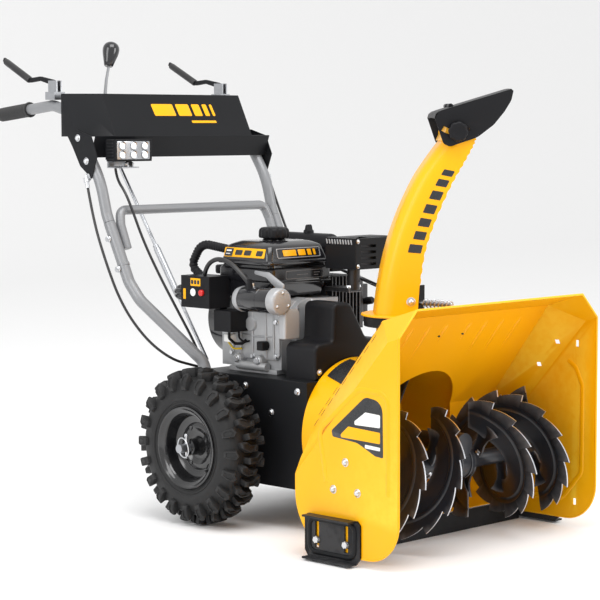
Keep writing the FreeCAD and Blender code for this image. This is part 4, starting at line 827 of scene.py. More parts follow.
# two small slots in the back wall, dark with painted shadow
slots = []
for x in (-51, 22):
    start = Vector((x, -537, 435.3)) + WALL_OUT * 2.7
    line = [at(*(start + WALL_DOWN.cross(WALL_OUT) * step * 2.0 + WALL_DOWN * step * -0.6))
            for step in range(-3, 4)]
    slots.append(swept("slot", line, [1.2, 2.0, 2.2, 2.2, 2.2, 2.0, 1.2], 10, flat=0.3, out=WALL_OUT))

# tabs of the end plates through the bent sheet: short cuts in a double row down the cheek, dark with painted
# shadow
CHEEK = {side: (Vector((side * 310, -636, 447.8)), Vector((side * 0.796, 0.451, 0.404)).normalized())
         for side in (-1, 1)}


def on_cheek(side, x, y, lift):
    """A point on the end plate's rear cheek, lifted off it."""
    corner, outward = CHEEK[side]
    z = corner.z - (outward.x * (side * abs(x) - corner.x) + outward.y * (y - corner.y)) / outward.z
    return at(*(Vector((side * abs(x), y, z)) + outward * lift))


for side in (-1, 1):
    for row, (top_x, low_x) in enumerate(((259.5, 262.5), (267.5, 270.5))):
        for index in range(9):
            y = -566 + index * 19.5 + row * 6.0
            x = top_x + (low_x - top_x) * index / 8
            line = [on_cheek(side, x + 0.16 * step, y + step * 2.2, 0.15) for step in range(-3, 4)]
            slots.append(swept("tab", line, [0.5, 0.9, 1.0, 1.0, 1.0, 0.9, 0.5], 8, flat=0.35,
                               out=CHEEK[side][1]))
shown("seam_cuts", merged("seam_cuts", slots, 70), "chassis", SHADOW_GAP, "housing_yellow")


BLACK_DECAL = coat("black_decal_film", (0.012, 0.013, 0.016), rough=0.28, clear=0.3,
                   ripple=(300.0, 0.05, 0.0003))
WHITE_DECAL = coat("white_decal_film", (0.85, 0.85, 0.82), rough=0.3, clear=0.3,
                   ripple=(300.0, 0.05, 0.0003))


def rounded_corners(points, radii, steps=6):
    """A closed outline with its corners rounded; radii gives a radius for some corners by index."""
    outline = []
    count = len(points)
    for index, point in enumerate(points):
        corner = Vector(point)
        before = (Vector(points[index - 1]) - corner).normalized()
        after = (Vector(points[(index + 1) % count]) - corner).normalized()
        radius = radii.get(index, 0) if isinstance(radii, dict) else radii
        if not radius:
            outline.append(corner)
            continue
        half = before.angle(after) / 2
        reach = radius / math.tan(half)
        middle = corner + (before + after).normalized() * (radius / math.sin(half))
        first = corner + before * reach - middle
        last = corner + after * reach - middle
        outline += arc_between(middle, first, last, steps)
    return outline


def cut_plate(name, loops, gauge, to_place, edge=0.5, rounds=1):
    """Flat plate with rounded edges, cut to an outline and holes; loops are flat points in millimetres.

    to_place turns (u, v, w) in millimetres into a point on the machine, with w across the gauge.
    """
    curve = bpy.data.curves.new(name, "CURVE")
    curve.dimensions = "2D"
    curve.fill_mode = "BOTH"
    curve.extrude = max(gauge / 2 - edge, 0.05)
    curve.bevel_depth = edge
    curve.bevel_resolution = rounds
    curve.offset = -edge
    for loop in loops:
        spline = curve.splines.new("POLY")
        spline.points.add(len(loop) - 1)
        for point, corner in zip(spline.points, loop):
            point.co = (corner[0], corner[1], 0, 1)
        spline.use_cyclic_u = True
    holder = bpy.data.objects.new(name, curve)
    mesh = bpy.data.meshes.new_from_object(holder)
    bpy.data.objects.remove(holder)
    bpy.data.curves.remove(curve)
    bm = bmesh.new()
    bm.from_mesh(mesh)
    bmesh.ops.remove_doubles(bm, verts=bm.verts, dist=0.001)
    bmesh.ops.dissolve_degenerate(bm, edges=bm.edges, dist=0.001)
    for vert in bm.verts:
        vert.co = to_place(vert.co.x, vert.co.y, vert.co.z)
    bmesh.ops.recalc_face_normals(bm, faces=bm.faces)
    bm.to_mesh(mesh)
    bm.free()
    mesh.name = name
    return smooth_by(mesh, 40)


def on_side(x):
    """Places a plate drawn as (y, z) at a distance x from the middle."""
    return lambda u, v, w: at(x + w, u, v)


def side_print(name, outline, finish, lift, radii):
    """A thin printed film on the right end plate, drawn as (y, z)."""
    loop = rounded_corners(outline, radii)
    mesh = cut_plate(name, [loop], 0.3, on_side(-310.2 - lift), edge=0.05)
    return shown(name, mesh, "chassis", finish, "plastic_black")


side_print("side_panel_print",
           [(-625, 223), (-623, 332), (-577, 338), (-486, 264), (-489, 252), (-556, 246), (-604, 225)],
           BLACK_DECAL, 0.0, {0: 3, 1: 26, 2: 22, 3: 5, 4: 5, 5: 34, 6: 4})
side_print("side_panel_bar_top", [(-617, 281), (-617, 306), (-578, 308), (-549, 288), (-549, 281)],
           WHITE_DECAL, 0.3, 2.5)
side_print("side_panel_bar_yellow", [(-617, 250), (-617, 272), (-532, 276), (-512, 259), (-512, 253)],
           YELLOW, 0.3, 2.5)
side_print("side_panel_bar_low", [(-617, 236), (-617, 243), (-577, 245), (-577, 238)], WHITE_DECAL, 0.3,
           1.5)

SATIN_BLACK = coat("satin_black_powder_coat", (0.009, 0.0095, 0.011), shade=0.8, rough=0.4,
                   rough_spread=0.12, ripple=(520.0, 0.2, 0.0006), edge_wear_and_sheen=(0.04, 0.04, 0.042), dust=0.004,
                   gloss=0.16)

# bolts of the bearings, the wear bar, the skid shoes and the handles
bolt_parts = []
for side in (-1, 1):
    for degrees in (90, 210, 330):
        turn = math.radians(degrees)
        spot = at(side * 310, AUGER_Y + 38 * math.cos(turn), AUGER_Z + 38 * math.sin(turn))
        bolt_parts.append(hex_bolt("bearing_bolt", spot, (side, 0, 0), width=13.5, height=6, washer=8.6,
                                   dome=True))
    for y in (-530, -450):
        spot = at(side * 315, y, 42)
        bolt_parts.append(hex_bolt("skid_bolt", spot, (side, 0, 0), width=13, height=6, washer=8))
    for y, z, x in ((214, 545, 266.3), (246, 610, 266.3), (346, 832, 268.3), (317, 781, 268.3)):
        bolt_parts.append(hex_bolt("handle_bolt", at(side * x, y, z), (side, 0, 0), width=12, height=5,
                                   washer=8, dome=z > 700))
for x in (-240, -80, 80, 240):
    bolt_parts.append(hex_bolt("bar_bolt", at(x, -452, 28), (0, 1, 0), width=12, height=5.5, washer=8.5))
shown("fixing_bolts", merged("fixing_bolts", bolt_parts, 30), "chassis", ZINC, "zinc", "bolts")
softened("scraper_bar", "chassis", SATIN_BLACK, "frame_black", width=0.8)
softened("flange_bearings", "chassis", STEEL, "steel", width=0.8)

# printed panel on the drum's top, behind the right plate
DRUM_Z = 208
DRUM_PRINT_RADIUS = 157.9
drum_corners = []
for row, y in enumerate((-320, -308, -296, -284, -272, -262)):
    for column in range(9):
        turn = math.radians(-44 + 28 * column / 8 + row * 1.4)
        drum_corners.append(at(DRUM_PRINT_RADIUS * math.sin(turn), y,
                               DRUM_Z + DRUM_PRINT_RADIUS * math.cos(turn)))
drum_faces = bands(6, 9, looped=False)
shown("drum_print", mesh_of("drum_print", drum_corners, drum_faces), "chassis", BLACK_DECAL,
      "plastic_black")

# ------------------------------------------------------------ chute
# A folded channel of the same coated sheet, arched forward, with a toothed front edge where its strips
# overlap. It stands on a round flange in a black ring, and a wire worm turns it by its rim.

CHUTE_TURN = math.radians(48)
CHUTE_Y = -405.0


def by_chute(out, side, z):
    """A drawn point on the turned chute: out along its throw, to its right side, and up."""
    x = math.sin(CHUTE_TURN) * out - math.cos(CHUTE_TURN) * side
    y = CHUTE_Y - math.cos(CHUTE_TURN) * out - math.sin(CHUTE_TURN) * side
    return at(x, y, z)


def smooth_line(points, share):
    """A point on a smooth line through points, by share of the way."""
    reach = share * (len(points) - 1)
    index = min(int(reach), len(points) - 2)
    local = reach - index
    p0, p1, p2, p3 = (Vector(points[min(max(index + k, 0), len(points) - 1)]) for k in (-1, 0, 1, 2))
    return 0.5 * ((2 * p1) + (p2 - p0) * local + (2 * p0 - 5 * p1 + 4 * p2 - p3) * local ** 2
                  + (3 * p1 - 3 * p2 + p3 - p0) * local ** 3)


def ring_of(centre, radius, count):
    """A round outline about a flat centre."""
    turns = [math.tau * step / count for step in range(count)]
    return [Vector((centre[0] + radius * math.cos(turn), centre[1] + radius * math.sin(turn)))
            for turn in turns]


CHUTE_FRONT = [(14, 466), (19, 535), (30, 605), (52, 670), (82, 737), (108, 783), (128, 820), (135, 840)]
CHUTE_BACK = [(-71, 466), (-61, 540), (-45, 612), (-21, 682), (11, 750), (42, 797), (68, 831), (78, 842)]
CHUTE_HALF = 65.0
CHUTE_ROUND = 34.0
STATIONS = 88
chute_corners = []
for station in range(STATIONS + 1):
    share = station / STATIONS
    front = smooth_line(CHUTE_FRONT, share)
    back = smooth_line(CHUTE_BACK, share)
    way = (front - back).normalized()
    if 0.12 < share < 0.97:
        front = front + way * (1.6 if station % 4 in (1, 2) else -0.2)
    for inset in (0.0, 2.4):
        section = [(front, CHUTE_HALF - inset)]
        section.append((back + way * (CHUTE_ROUND + 20), CHUTE_HALF - inset))
        for step in range(9):
            turn = math.pi / 2 * step / 8
            radius = CHUTE_ROUND - inset
            section.append((back + way * (CHUTE_ROUND - radius * math.sin(turn)),
                            CHUTE_HALF - CHUTE_ROUND + radius * math.cos(turn)))
        section += [(flat, -side) for flat, side in reversed(section)]
        chute_corners += [by_chute(flat.x, side, flat.y) for flat, side in section]
LAYER_CORNERS = 22
chute_faces = []
for station in range(STATIONS):
    here = station * LAYER_CORNERS * 2
    there = here + LAYER_CORNERS * 2
    for column in range(LAYER_CORNERS - 1):
        chute_faces.append((here + column, here + column + 1, there + column + 1, there + column))
        chute_faces.append((here + LAYER_CORNERS + column + 1, here + LAYER_CORNERS + column,
                            there + LAYER_CORNERS + column, there + LAYER_CORNERS + column + 1))
    for column in (0, LAYER_CORNERS - 1):
        chute_faces.append((here + column, there + column, there + LAYER_CORNERS + column,
                            here + LAYER_CORNERS + column))
for here in (0, STATIONS * LAYER_CORNERS * 2):
    for column in range(LAYER_CORNERS - 1):
        chute_faces.append((here + column, here + column + 1, here + LAYER_CORNERS + column + 1,
                            here + LAYER_CORNERS + column))
channel = mesh_of("channel", chute_corners, chute_faces, 42)
flange = turned_profile("flange",
                        [(466 - 0.2, 61), (466 - 0.2, 97), (467.2, 98), (468.6, 98), (469.8, 97), (470, 95),
                         (469.8, 61)], at(0, CHUTE_Y, 0), (0, 0, 1), count=96, closed=True)
back_plate = cut_plate("back_plate",
                       [rounded_corners([(-55, 0), (55, 0), (55, 57), (-55, 57)], {2: 12, 3: 12}, 6)], 2.6,
                       lambda u, v, w: by_chute(65 + 0.445 * v + w, u, 829 + v), edge=0.7)
ears = [cut_plate("ear", [ring_of((94, 844), 23.5, 48)], 2.4,
                  lambda u, v, w: by_chute(u, side * 64.6 + w, v), edge=0.6) for side in (-1, 1)]
shown("chute_channel", merged("chute_channel", [channel, flange, back_plate] + ears, 42), "chute", YELLOW,
      "housing_yellow", "chute")
softened("chute_seat", "chassis", SATIN_BLACK, "plastic_black", width=0.9)

chute_fixings = []
for side in (1, -1):
    way = by_chute(0, side, 0) - by_chute(0, 0, 0)
    chute_fixings.append(hex_bolt("chute_bolt", by_chute(0.6, side * 65, 498.5), way, width=11, height=4.5,
                                  washer=9.5, dome=True))
shown("chute_fixings", merged("chute_fixings", chute_fixings), "chute", ZINC, "zinc")


def chute_print(name, low, high, near, far):
    """A black slanted bar printed on the chute's right wall, between two shares of its height."""
    corners = []
    for share, reach in ((low, near), (high, near), (high, far), (low, far)):
        front = smooth_line(CHUTE_FRONT, share)
        back = smooth_line(CHUTE_BACK, share)
        spot = front + (back - front) * reach
        corners.append((spot.x, spot.y))
    loop = rounded_corners(corners, 1.6, 3)
    return cut_plate(name, [loop], 0.3, lambda u, v, w: by_chute(u, CHUTE_HALF + 0.3 + w, v), edge=0.05)


# seven plain bars in a column
prints = []
for index in range(7):
    low = 0.27 + index * 0.058
    prints.append(chute_print("bar", low, low + 0.036, 0.10, 0.42 if index else 0.46))
shown("chute_print", merged("chute_print", prints), "chute", BLACK_DECAL, "plastic_black")

# ------------------------------------------------------------ deflector
# A moulded black hood hinged over the chute's mouth: two cheeks and a roof. A lobed knob runs in the right
# cheek's curved slot and clamps it.

MATTE_BLACK = coat("moulded_black_plastic", (0.009, 0.009, 0.0105), shade=0.82, rough=0.42,
                   rough_spread=0.12, ripple=(800.0, 0.35, 0.0005), dust=0.003, gloss=0.18)
GLOSS_BLACK = coat("gloss_black_plastic", (0.008, 0.008, 0.010), shade=0.8, rough=0.14, rough_spread=0.06,
                   clear=0.5, ripple=(260.0, 0.06, 0.0006), dust=0.012)
HOOD_HALF = 70.0
HINGE = Vector((92, 897))
hood_outline = rounded_corners([(48, 876), (56, 889), (66, 892), (206, 935), (210, 931), (206, 912),
                                (192, 889), (170, 862), (136, 836), (100, 824), (80, 817), (66, 823)],
                               {0: 6, 3: 3, 4: 3, 5: 30, 6: 30, 7: 40, 8: 50, 10: 12, 11: 12}, 5)
slot_loop = []
for radius, turns in ((56.0, range(-33, 34, 3)), (45.0, range(33, -34, -3))):
    for degrees in turns:
        turn = math.radians(degrees)
        slot_loop.append(HINGE + Vector((math.sin(turn), -math.cos(turn))) * radius)
hood_parts = []
for side in (1, -1):
    loops = [hood_outline] + ([slot_loop] if side > 0 else [])
    hood_parts.append(cut_plate("cheek", loops, 2.6, lambda u, v, w: by_chute(u, side * HOOD_HALF + w, v),
                                edge=0.7))
roof_profile = [(48, 877), (50, 884), (56, 889), (66, 892.5), (120, 909), (206, 935)]
roof_corners = []
for flat in roof_profile:
    for lift in (0.0, -2.6):
        for side in (-HOOD_HALF - 1.2, -HOOD_HALF / 2, 0, HOOD_HALF / 2, HOOD_HALF + 1.2):
            crown_lift = 1.5 * (1 - (side / HOOD_HALF) ** 2)
            roof_corners.append(by_chute(flat[0], side, flat[1] + lift + crown_lift))
roof_faces = []
for row in range(len(roof_profile) - 1):
    for layer in (0, 1):
        for column in range(4):
            a = row * 10 + layer * 5 + column
            roof_faces.append((a, a + 1, a + 11, a + 10))
for column in range(4):
    for row in (0, len(roof_profile) - 1):
        a = row * 10 + column
        roof_faces.append((a, a + 1, a + 6, a + 5))
hood_parts.append(mesh_of("roof", roof_corners, roof_faces, 40))
for side in (-30, 30):
    hood_parts.append(turned_profile("hinge_knuckle",
                                     [(side - 16, 0), (side - 16, 4), (side - 15, 5), (side + 15, 5),
                                      (side + 16, 4), (side + 16, 0)], by_chute(84, 0, 900.5),
                                     by_chute(0, 1, 0) - by_chute(0, 0, 0), count=20))
shown("deflector_hood", merged("deflector_hood", hood_parts), "deflector", MATTE_BLACK, "plastic_black",
      "deflector")


def lobed_knob(name, centre, axis, levels, lobes, depth):
    """A moulded knob with scallops round its rim; levels are (rise, radius, share of the scallop's depth)."""
    way = Vector(axis).normalized()
    across = way.orthogonal().normalized()
    up = way.cross(across)
    count = lobes * 14
    corners = []
    for rise, radius, share in levels:
        for step in range(count):
            turn = math.tau * step / count
            reach = radius - share * depth * (0.5 - 0.5 * math.cos(lobes * turn)) ** 3
            corners.append(centre
                           + (way * rise + (across * math.cos(turn) + up * math.sin(turn)) * reach) * MM)
    last = (len(levels) - 1) * count
    faces = [tuple(range(count))] + bands(len(levels),
                                          count) + [tuple(last + step for step in range(count))]
    return skinned(name, corners, faces, 40)


clamp_knob = lobed_knob("deflector_knob_lobed", by_chute(95, 75, 848),
                        by_chute(0, 1, 0) - by_chute(0, 0, 0),
                        [(0, 17.5, 0), (1.0, 19.0, 0.6), (3, 20.2, 1.0), (10, 20.6, 1.0), (12.5, 19.8, 1.0),
                         (14, 17.8, 0.7), (14.6, 14, 0.2), (13.6, 11.5, 0), (13.2, 6, 0), (13.2, 0.5, 0)],
                        8, 1.6)
shown("deflector_knob_lobed", clamp_knob, "knob", MATTE_BLACK, "plastic_black", "deflector_knob")

# worm that turns the chute, its rod and its folding grip
worm_parts = [turned_profile("spindle",
                             [(-432, 0), (-432, 4.2), (-431, 5), (-319, 5), (-318, 4.2), (-318, 0)],
                             at(111, 0, 480), (0, 1, 0), count=24)]
coil = []
for step in range(0, 7 * 24 + 1):
    turn = math.tau * step / 24
    coil.append(at(111 + 8.6 * math.cos(turn), -428 + 78 * step / (7 * 24), 480 + 8.6 * math.sin(turn)))
worm_parts.append(swept("coil", coil, 1.9, 8))
shown("worm_and_coil", merged("worm_and_coil", worm_parts), "worm", ZINC, "zinc", "chute_worm")
softened("chute_crank", "crank", ZINC, "zinc", width=0.8)

# ------------------------------------------------------------ engine
# A single cylinder engine: cast crankcase, finned cylinder leaning left, gloss black cooling shroud and fuel
# tank, a silencer in a slotted guard and a round starter cover at the back.


def rounded_ring(x0, x1, y0, y1, radius, z):
    """A rounded rectangle of points at one height."""
    ring = []
    for cx, cy, first in ((x1 - radius, y1 - radius, 0), (x0 + radius, y1 - radius, 90),
                          (x0 + radius, y0 + radius, 180), (x1 - radius, y0 + radius, 270)):
        for step in range(8):
            turn = math.radians(first + 90 * step / 7)
            ring.append(at(cx + radius * math.cos(turn), cy + radius * math.sin(turn), z))
    return ring


def stacked(name, box, levels, degrees=28):
    """A moulded body of rounded rings: box is x0, x1, y0, y1, levels are (height, inset, corner radius)."""
    rings = [rounded_ring(box[0] + inset, box[1] - inset, box[2] + inset, box[3] - inset, radius, z)
             for z, inset, radius in levels]
    count = len(rings[0])
    corners = [corner for ring in rings for corner in ring]
    last = (len(rings) - 1) * count
    faces = [tuple(reversed(range(count)))] + bands(len(rings),
                                                    count) + [tuple(last + step for step in range(count))]
    return mesh_of(name, corners, faces, degrees)


TANK_BOX = (-120, 78, -112, 58)
TANK_WAIST_Z = 572
TANK_WAIST_INSET = 8.6
TANK_CAP = (-35, -40)
tank_shell = stacked("tank_shell", TANK_BOX,
                     [(560.4, 2, 14), (561.2, 0.6, 15), (562.5, 0, 16), (565, 0, 16), (566.4, 0.8, 15),
                      (567.0, 3, 14), (567.6, 6.5, 13), (569, 8, 12), (572, 8.6, 12), (596, 15, 14),
                      (599.5, 17, 15), (602, 20, 17), (606.4, 29, 20), (608.4, 33, 22), (609.4, 38, 22),
                      (609.8, 46, 22), (609.9, 60, 20)], 24)
tank_neck = turned_profile("tank_neck",
                           [(606, 0), (606, 27), (611, 26), (613.2, 24), (613.8, 22), (613.8, 0)],
                           at(*TANK_CAP, 0), (0, 0, 1), count=48)
shown("fuel_tank_shell", merged("fuel_tank_shell", [tank_shell, tank_neck]), "chassis", GLOSS_BLACK,
      "plastic_gloss_black", "fuel_tank")
cap = lobed_knob("fuel_cap_lobed", at(*TANK_CAP, 614.6), (0, 0, 1),
                 [(0, 29, 0.2), (0.8, 32.5, 1), (4, 33.8, 1), (16, 33.2, 1), (20, 31.5, 1), (22.5, 28, 0.8),
                  (23.6, 24, 0.3), (23.8, 20, 0), (22.8, 18.5, 0), (22.6, 1, 0)], 8, 3.6)
shown("fuel_cap_lobed", cap, "cap", MATTE_BLACK, "plastic_black", "fuel_cap")


def tank_lean(z):
    """How far the tank's upper walls have leaned in at a height."""
    return TANK_WAIST_INSET + (z - TANK_WAIST_Z) * 6.4 / 24


def tank_side(lift):
    """Places a film drawn as (y, z) on the tank's leaning right face."""
    return lambda u, v, w: at(TANK_BOX[0] + tank_lean(v) - lift - w, u, v)


def tank_front(lift):
    """Places a film drawn as (x, z) on the tank's leaning front face."""
    return lambda u, v, w: at(u, TANK_BOX[2] + tank_lean(v) - lift - w, v)


def film(name, outline, place, radius):
    """A thin film with rounded corners."""
    return cut_plate(name, [rounded_corners(outline, radius, 4)], 0.3, place, edge=0.05)


def quad(u0, u1, v0, v1, slant=0.0):
    """Four corners of a bar, its top shifted by slant."""
    return [(u0, v0), (u1, v0), (u1 + slant, v1), (u0 + slant, v1)]


shown("tank_side_plate", film("tank_side_plate", quad(-88, 40, 574.5, 594.5), tank_side(0.5), 2), "chassis",
      YELLOW, "plastic_black")
tank_dark = [film("dark_end", quad(14, 38, 576, 593, -3), tank_side(1.0), 1.2)]
for u0, u1 in ((-16, 6), (-44, -22), (-80, -60)):
    tank_dark.append(film("bar", quad(u0, u1, 579, 590, -2.5), tank_side(1.0), 2.4))
shown("tank_side_marks", merged("tank_side_marks", tank_dark), "chassis", BLACK_DECAL, "plastic_black")
shown("tank_side_lines",
      merged("tank_side_lines",
             [film("line", quad(17, 33, 586.5, 589.5), tank_side(1.5), 0.8),
              film("line", quad(20, 33, 580.5, 582), tank_side(1.5), 0.5)]), "chassis", WHITE_DECAL,
      "plastic_black")
rim_outline = rounded_corners(quad(-86, 46, 573.5, 595), 3.5, 5)
rim_hole = list(reversed(rounded_corners(quad(-83.6, 43.6, 575.4, 593.2), 2.6, 5)))
shown("tank_front_frame",
      cut_plate("tank_front_frame", [rim_outline, rim_hole], 1.6, tank_front(0.8), edge=0.5), "chassis",
      coat("frame_line_grey", (0.28, 0.28, 0.29), rough=0.25, clear=0.3), "plastic_black")
front_bars = []
mark_at = -66
for width in (40, 22, 12, 7):
    front_bars.append(film("bar", quad(mark_at, mark_at + width, 578, 591, -1.5), tank_front(0.5), 1.6))
    mark_at += width + 6
shown("tank_front_marks", merged("tank_front_marks", front_bars), "chassis", YELLOW, "plastic_black")

softened("engine_shroud", "chassis", GLOSS_BLACK, "plastic_gloss_black", width=3.0, segments=3)
band = stacked("shroud_band", (-109, 80, -106, 62),
               [(522, 5, 12), (523, 2, 13), (526, 0, 14), (549, 0, 14), (552, 2, 13), (553.5, 8, 12),
                (560.2, 9, 12)], 26)
lip = stacked("shroud_lip", (-98, 70, -98, 58), [(489, 12, 10), (491, 6, 12), (512, 0, 14), (522.5, 0, 14)],
              26)
shown("shroud_band", merged("shroud_band", [band, lip]), "chassis", GLOSS_BLACK, "plastic_gloss_black")
panel_line = rounded_corners(quad(-64, 52, 528, 546), 4, 5)
panel_hole = list(reversed(rounded_corners(quad(-63, 51, 529, 545), 3.4, 5)))
shroud_front = lambda u, v, w: at(u, -106.3 - w, v)
shroud_marks = [cut_plate("line", [panel_line, panel_hole], 0.3, shroud_front, edge=0.05),
                film("line", quad(-30, 4, 536, 537.2), shroud_front, 0.4),
                film("line", quad(22, 40, 539, 540.2), shroud_front, 0.4),
                film("line", quad(22, 36, 534, 535), shroud_front, 0.4)]
shown("shroud_marks", merged("shroud_marks", shroud_marks), "chassis",
      coat("print_grey", (0.16, 0.16, 0.165), rough=0.4), "plastic_black")

# cast crankcase with ribs, covers, bolts, filler plug and drain boss
softened("engine_crankcase", "chassis", CAST_ALUMINIUM, "aluminium_cast", width=4.5, segments=3)
cast_parts = []
CASE_X = -84.0
CRANK_X = -14
CRANK_Z = 432
cover_loop = rounded_corners([(-112, 352), (-112, 446), (-90, 474), (20, 474), (44, 440), (44, 352)], 14, 5)
cast_parts.append(cut_plate("side_cover", [cover_loop], 7, on_side(CASE_X - 2.6), edge=2))
for y in (-96, -72, -30, 8, 32):
    cast_parts.append(swept("rib",
                            [at(CASE_X - 6, y, 356), at(CASE_X - 7, y, 400), at(CASE_X - 6, y + 2, 462)],
                            [2.4, 3.0, 2.0], 10))
cast_parts.append(swept("rib",
                        [at(CASE_X - 6, -100, 404), at(CASE_X - 6.6, -30, 402), at(CASE_X - 6, 34, 406)],
                        [2, 2.8, 2], 10))
for y in (-56, 10):
    boss = [(0, 13), (16, 12), (17.5, 10.5), (17.5, 0)]
    cast_parts.append(turned_profile("drain_boss", boss, at(CASE_X, y, 350), (-1, 0, 0), count=32))
cast_parts.append(swept("foot_tube",
                        [at(-95, -80, 337), at(-95, -78, 337), at(-95, 12, 337), at(-95, 14, 337)],
                        [8.6, 9.6, 9.6, 8.6], 20))
cast_parts.append(turned_profile("sensor_boss", [(0, 17), (6, 16), (8, 14), (8, 0)],
                                 at(CASE_X - 4, -26, 428), (-1, 0, 0), count=36))
shown("crankcase_details", merged("crankcase_details", cast_parts, 36), "chassis", CAST_ALUMINIUM,
      "aluminium_cast")
case_bolts = []
for y, z in ((-104, 362), (-104, 436), (-78, 466), (-30, 468), (16, 466), (36, 432), (36, 362), (-30, 358)):
    case_bolts.append(hex_bolt("case_bolt", at(CASE_X - 6, y, z), (-1, 0, 0), width=9, height=6,
                               washer=6.6))
for y in (-56, 10):
    case_bolts.append(hex_bolt("drain_plug", at(CASE_X - 17.4, y, 350), (-1, 0, 0), width=13, height=7,
                               washer=9))
for degrees in range(20, 380, 60):
    turn = math.radians(degrees)
    case_bolts.append(hex_bolt("face_bolt",
                               at(CRANK_X + 47 * math.cos(turn), -124, CRANK_Z + 47 * math.sin(turn)),
                               (0, -1, 0), width=9, height=5, washer=6.6))
shown("crankcase_bolts", merged("crankcase_bolts", case_bolts, 30), "chassis", ZINC, "zinc")
plug = merged("filler_plug",
              [stacked("plug_head", (-112, -92, -82, -62),
                       [(374, 2, 3), (375, 0, 3.6), (392, 0, 3.6), (394, 2, 3)], 24),
               turned_profile("plug_stem", [(0, 10), (16, 9), (16, 0)], at(CASE_X - 2, -72, 384),
                              (-1, 0, 0), count=28)])
shown("filler_plug", plug, "chassis", MATTE_BLACK, "plastic_black")

# finned cylinder, with bright sheared fin edges
FIN_BLACK = coat("fin_black", (0.045, 0.045, 0.048), shade=0.7, rough=0.4, rough_spread=0.2, metal=0.5,
                 edge_wear_and_sheen=(0.5, 0.5, 0.52))
softened("engine_cylinder", "chassis", FIN_BLACK, "aluminium_cast", width=0.8)
head_bolts = [hex_bolt("head_bolt", at(238, y, z), (1, 0, 0), width=10, height=6, washer=7)
              for y in (-52, 18) for z in (426, 488)]
head_bolts += [hex_bolt("exhaust_bolt", at(76 + 32 * k, -160, 505), (0, 0, 1), width=9, height=5, washer=6)
               for k in (0, 1)]
shown("cylinder_bolts", merged("cylinder_bolts", head_bolts, 30), "chassis", ZINC, "zinc")
spark = turned_profile("spark_cap", [(0, 7), (14, 7.5), (16, 9), (30, 8.5), (34, 6), (35, 0)],
                       at(222, -62, 460), (0, -1, 0.15), count=24)
shown("spark_plug_cap", spark, "chassis", MATTE_BLACK, "rubber_black")

# silencer, guard, intake cover and the starter cover at the back
softened("muffler", "chassis", FIN_BLACK, "steel", width=4.0, segments=3)
softened("muffler_guard", "chassis", SATIN_BLACK, "frame_black", width=1.4, segments=3)
guard_bolts = [hex_bolt("guard_bolt", at(x, -222, z), (0, -1, 0), width=7, height=3, washer=5, dome=True)
               for x in (41, 171) for z in (556, 610)]
# light grey strips on the guard's top slots: painted highlight for the light showing through the slots and
# their sheen
guard_slot_highlights = []
for index in range(10):
    y = -212 + index * 8.2
    guard_slot_highlights.append(cut_plate("guard_slot", [rounded_corners(quad(y, y + 4.2, 603, 613.5, 2.5), 1.6, 4)],
                                 0.4, lambda u, v, w: at(33.7 - w, u, v), edge=0.1))
shown("guard_slot_highlights", merged("guard_slot_highlights", guard_slot_highlights), "chassis", CAST_ALUMINIUM, "frame_black")
shown("guard_bolts", merged("guard_bolts", guard_bolts, 30), "chassis", ZINC, "zinc")
intake = stacked("intake_cover", (86, 134, -92, 100),
                 [(536, 1.5, 8), (537, 0, 9), (585, 0, 12), (586, 1.2, 12), (588, 1.2, 12), (589, 0.2, 12),
                  (600, 1, 14), (608, 4, 15), (614, 9, 13), (617.5, 14, 9), (619, 19, 4.5)], 30)
wing = [turned_profile("wing_base", [(618, 0), (618, 12), (624, 11.5), (626, 9), (626, 0)], at(112, 0, 0),
                       (0, 0, 1), count=36),
        stacked("wing", (101, 123, -3.4, 3.4),
                [(624, 1.2, 2), (626, 0, 3), (634, 1, 3), (637.4, 3.2, 0.15)], 34)]
carburettor = stacked("carburettor", (98, 136, -20, 40), [(524.4, 2, 5), (526, 0, 6), (537, 0, 6)], 34)
shown("intake_cover", merged("intake_cover", [intake, carburettor] + wing), "chassis", MATTE_BLACK,
      "plastic_black", "air_filter_box")
softened("recoil_cover", "chassis", GLOSS_BLACK, "plastic_gloss_black", width=2.4, segments=3)
# vent openings in the starter cover: dark strips of painted shadow
vents = []
for ring, (radius, count) in enumerate(((26, 8), (40, 12))):
    for index in range(count):
        turn = math.tau * (index + 0.5 * ring) / count
        middle = at(CRANK_X + radius * math.cos(turn), 125.9, CRANK_Z + radius * math.sin(turn))
        side = Vector((math.cos(turn), 0, math.sin(turn)))
        vents.append(swept("vent", [middle - side * 0.0045, middle, middle + side * 0.0045],
                           [1.2, 2.2, 1.2], 10, flat=0.4, out=(0, 1, 0)))
shown("starter_vents", merged("starter_vents", vents), "chassis", SHADOW_GAP, "plastic_black")
pull = stacked("pull_grip", (-66, -6, 101, 123),
               [(530.2, 3, 7), (531.5, 1, 9), (535, 0, 10), (545, 0, 10), (548.5, 1, 9), (549.9, 3.4, 7)],
               34)
rope = swept("pull_rope", [at(-36, 112, 498.5), at(-36, 112, 515), at(-36, 112, 532)], 2.4, 14)
shown("pull_handle", merged("pull_handle", [pull, rope]), "recoil", MATTE_BLACK, "rubber_black",
      "recoil_handle")

# ------------------------------------------------------------ belt cover and frame
# A moulded cover with large soft edges hides the belts. Below it the folded sheet box carries the engine
# and the axle, and plated bolts hold both.

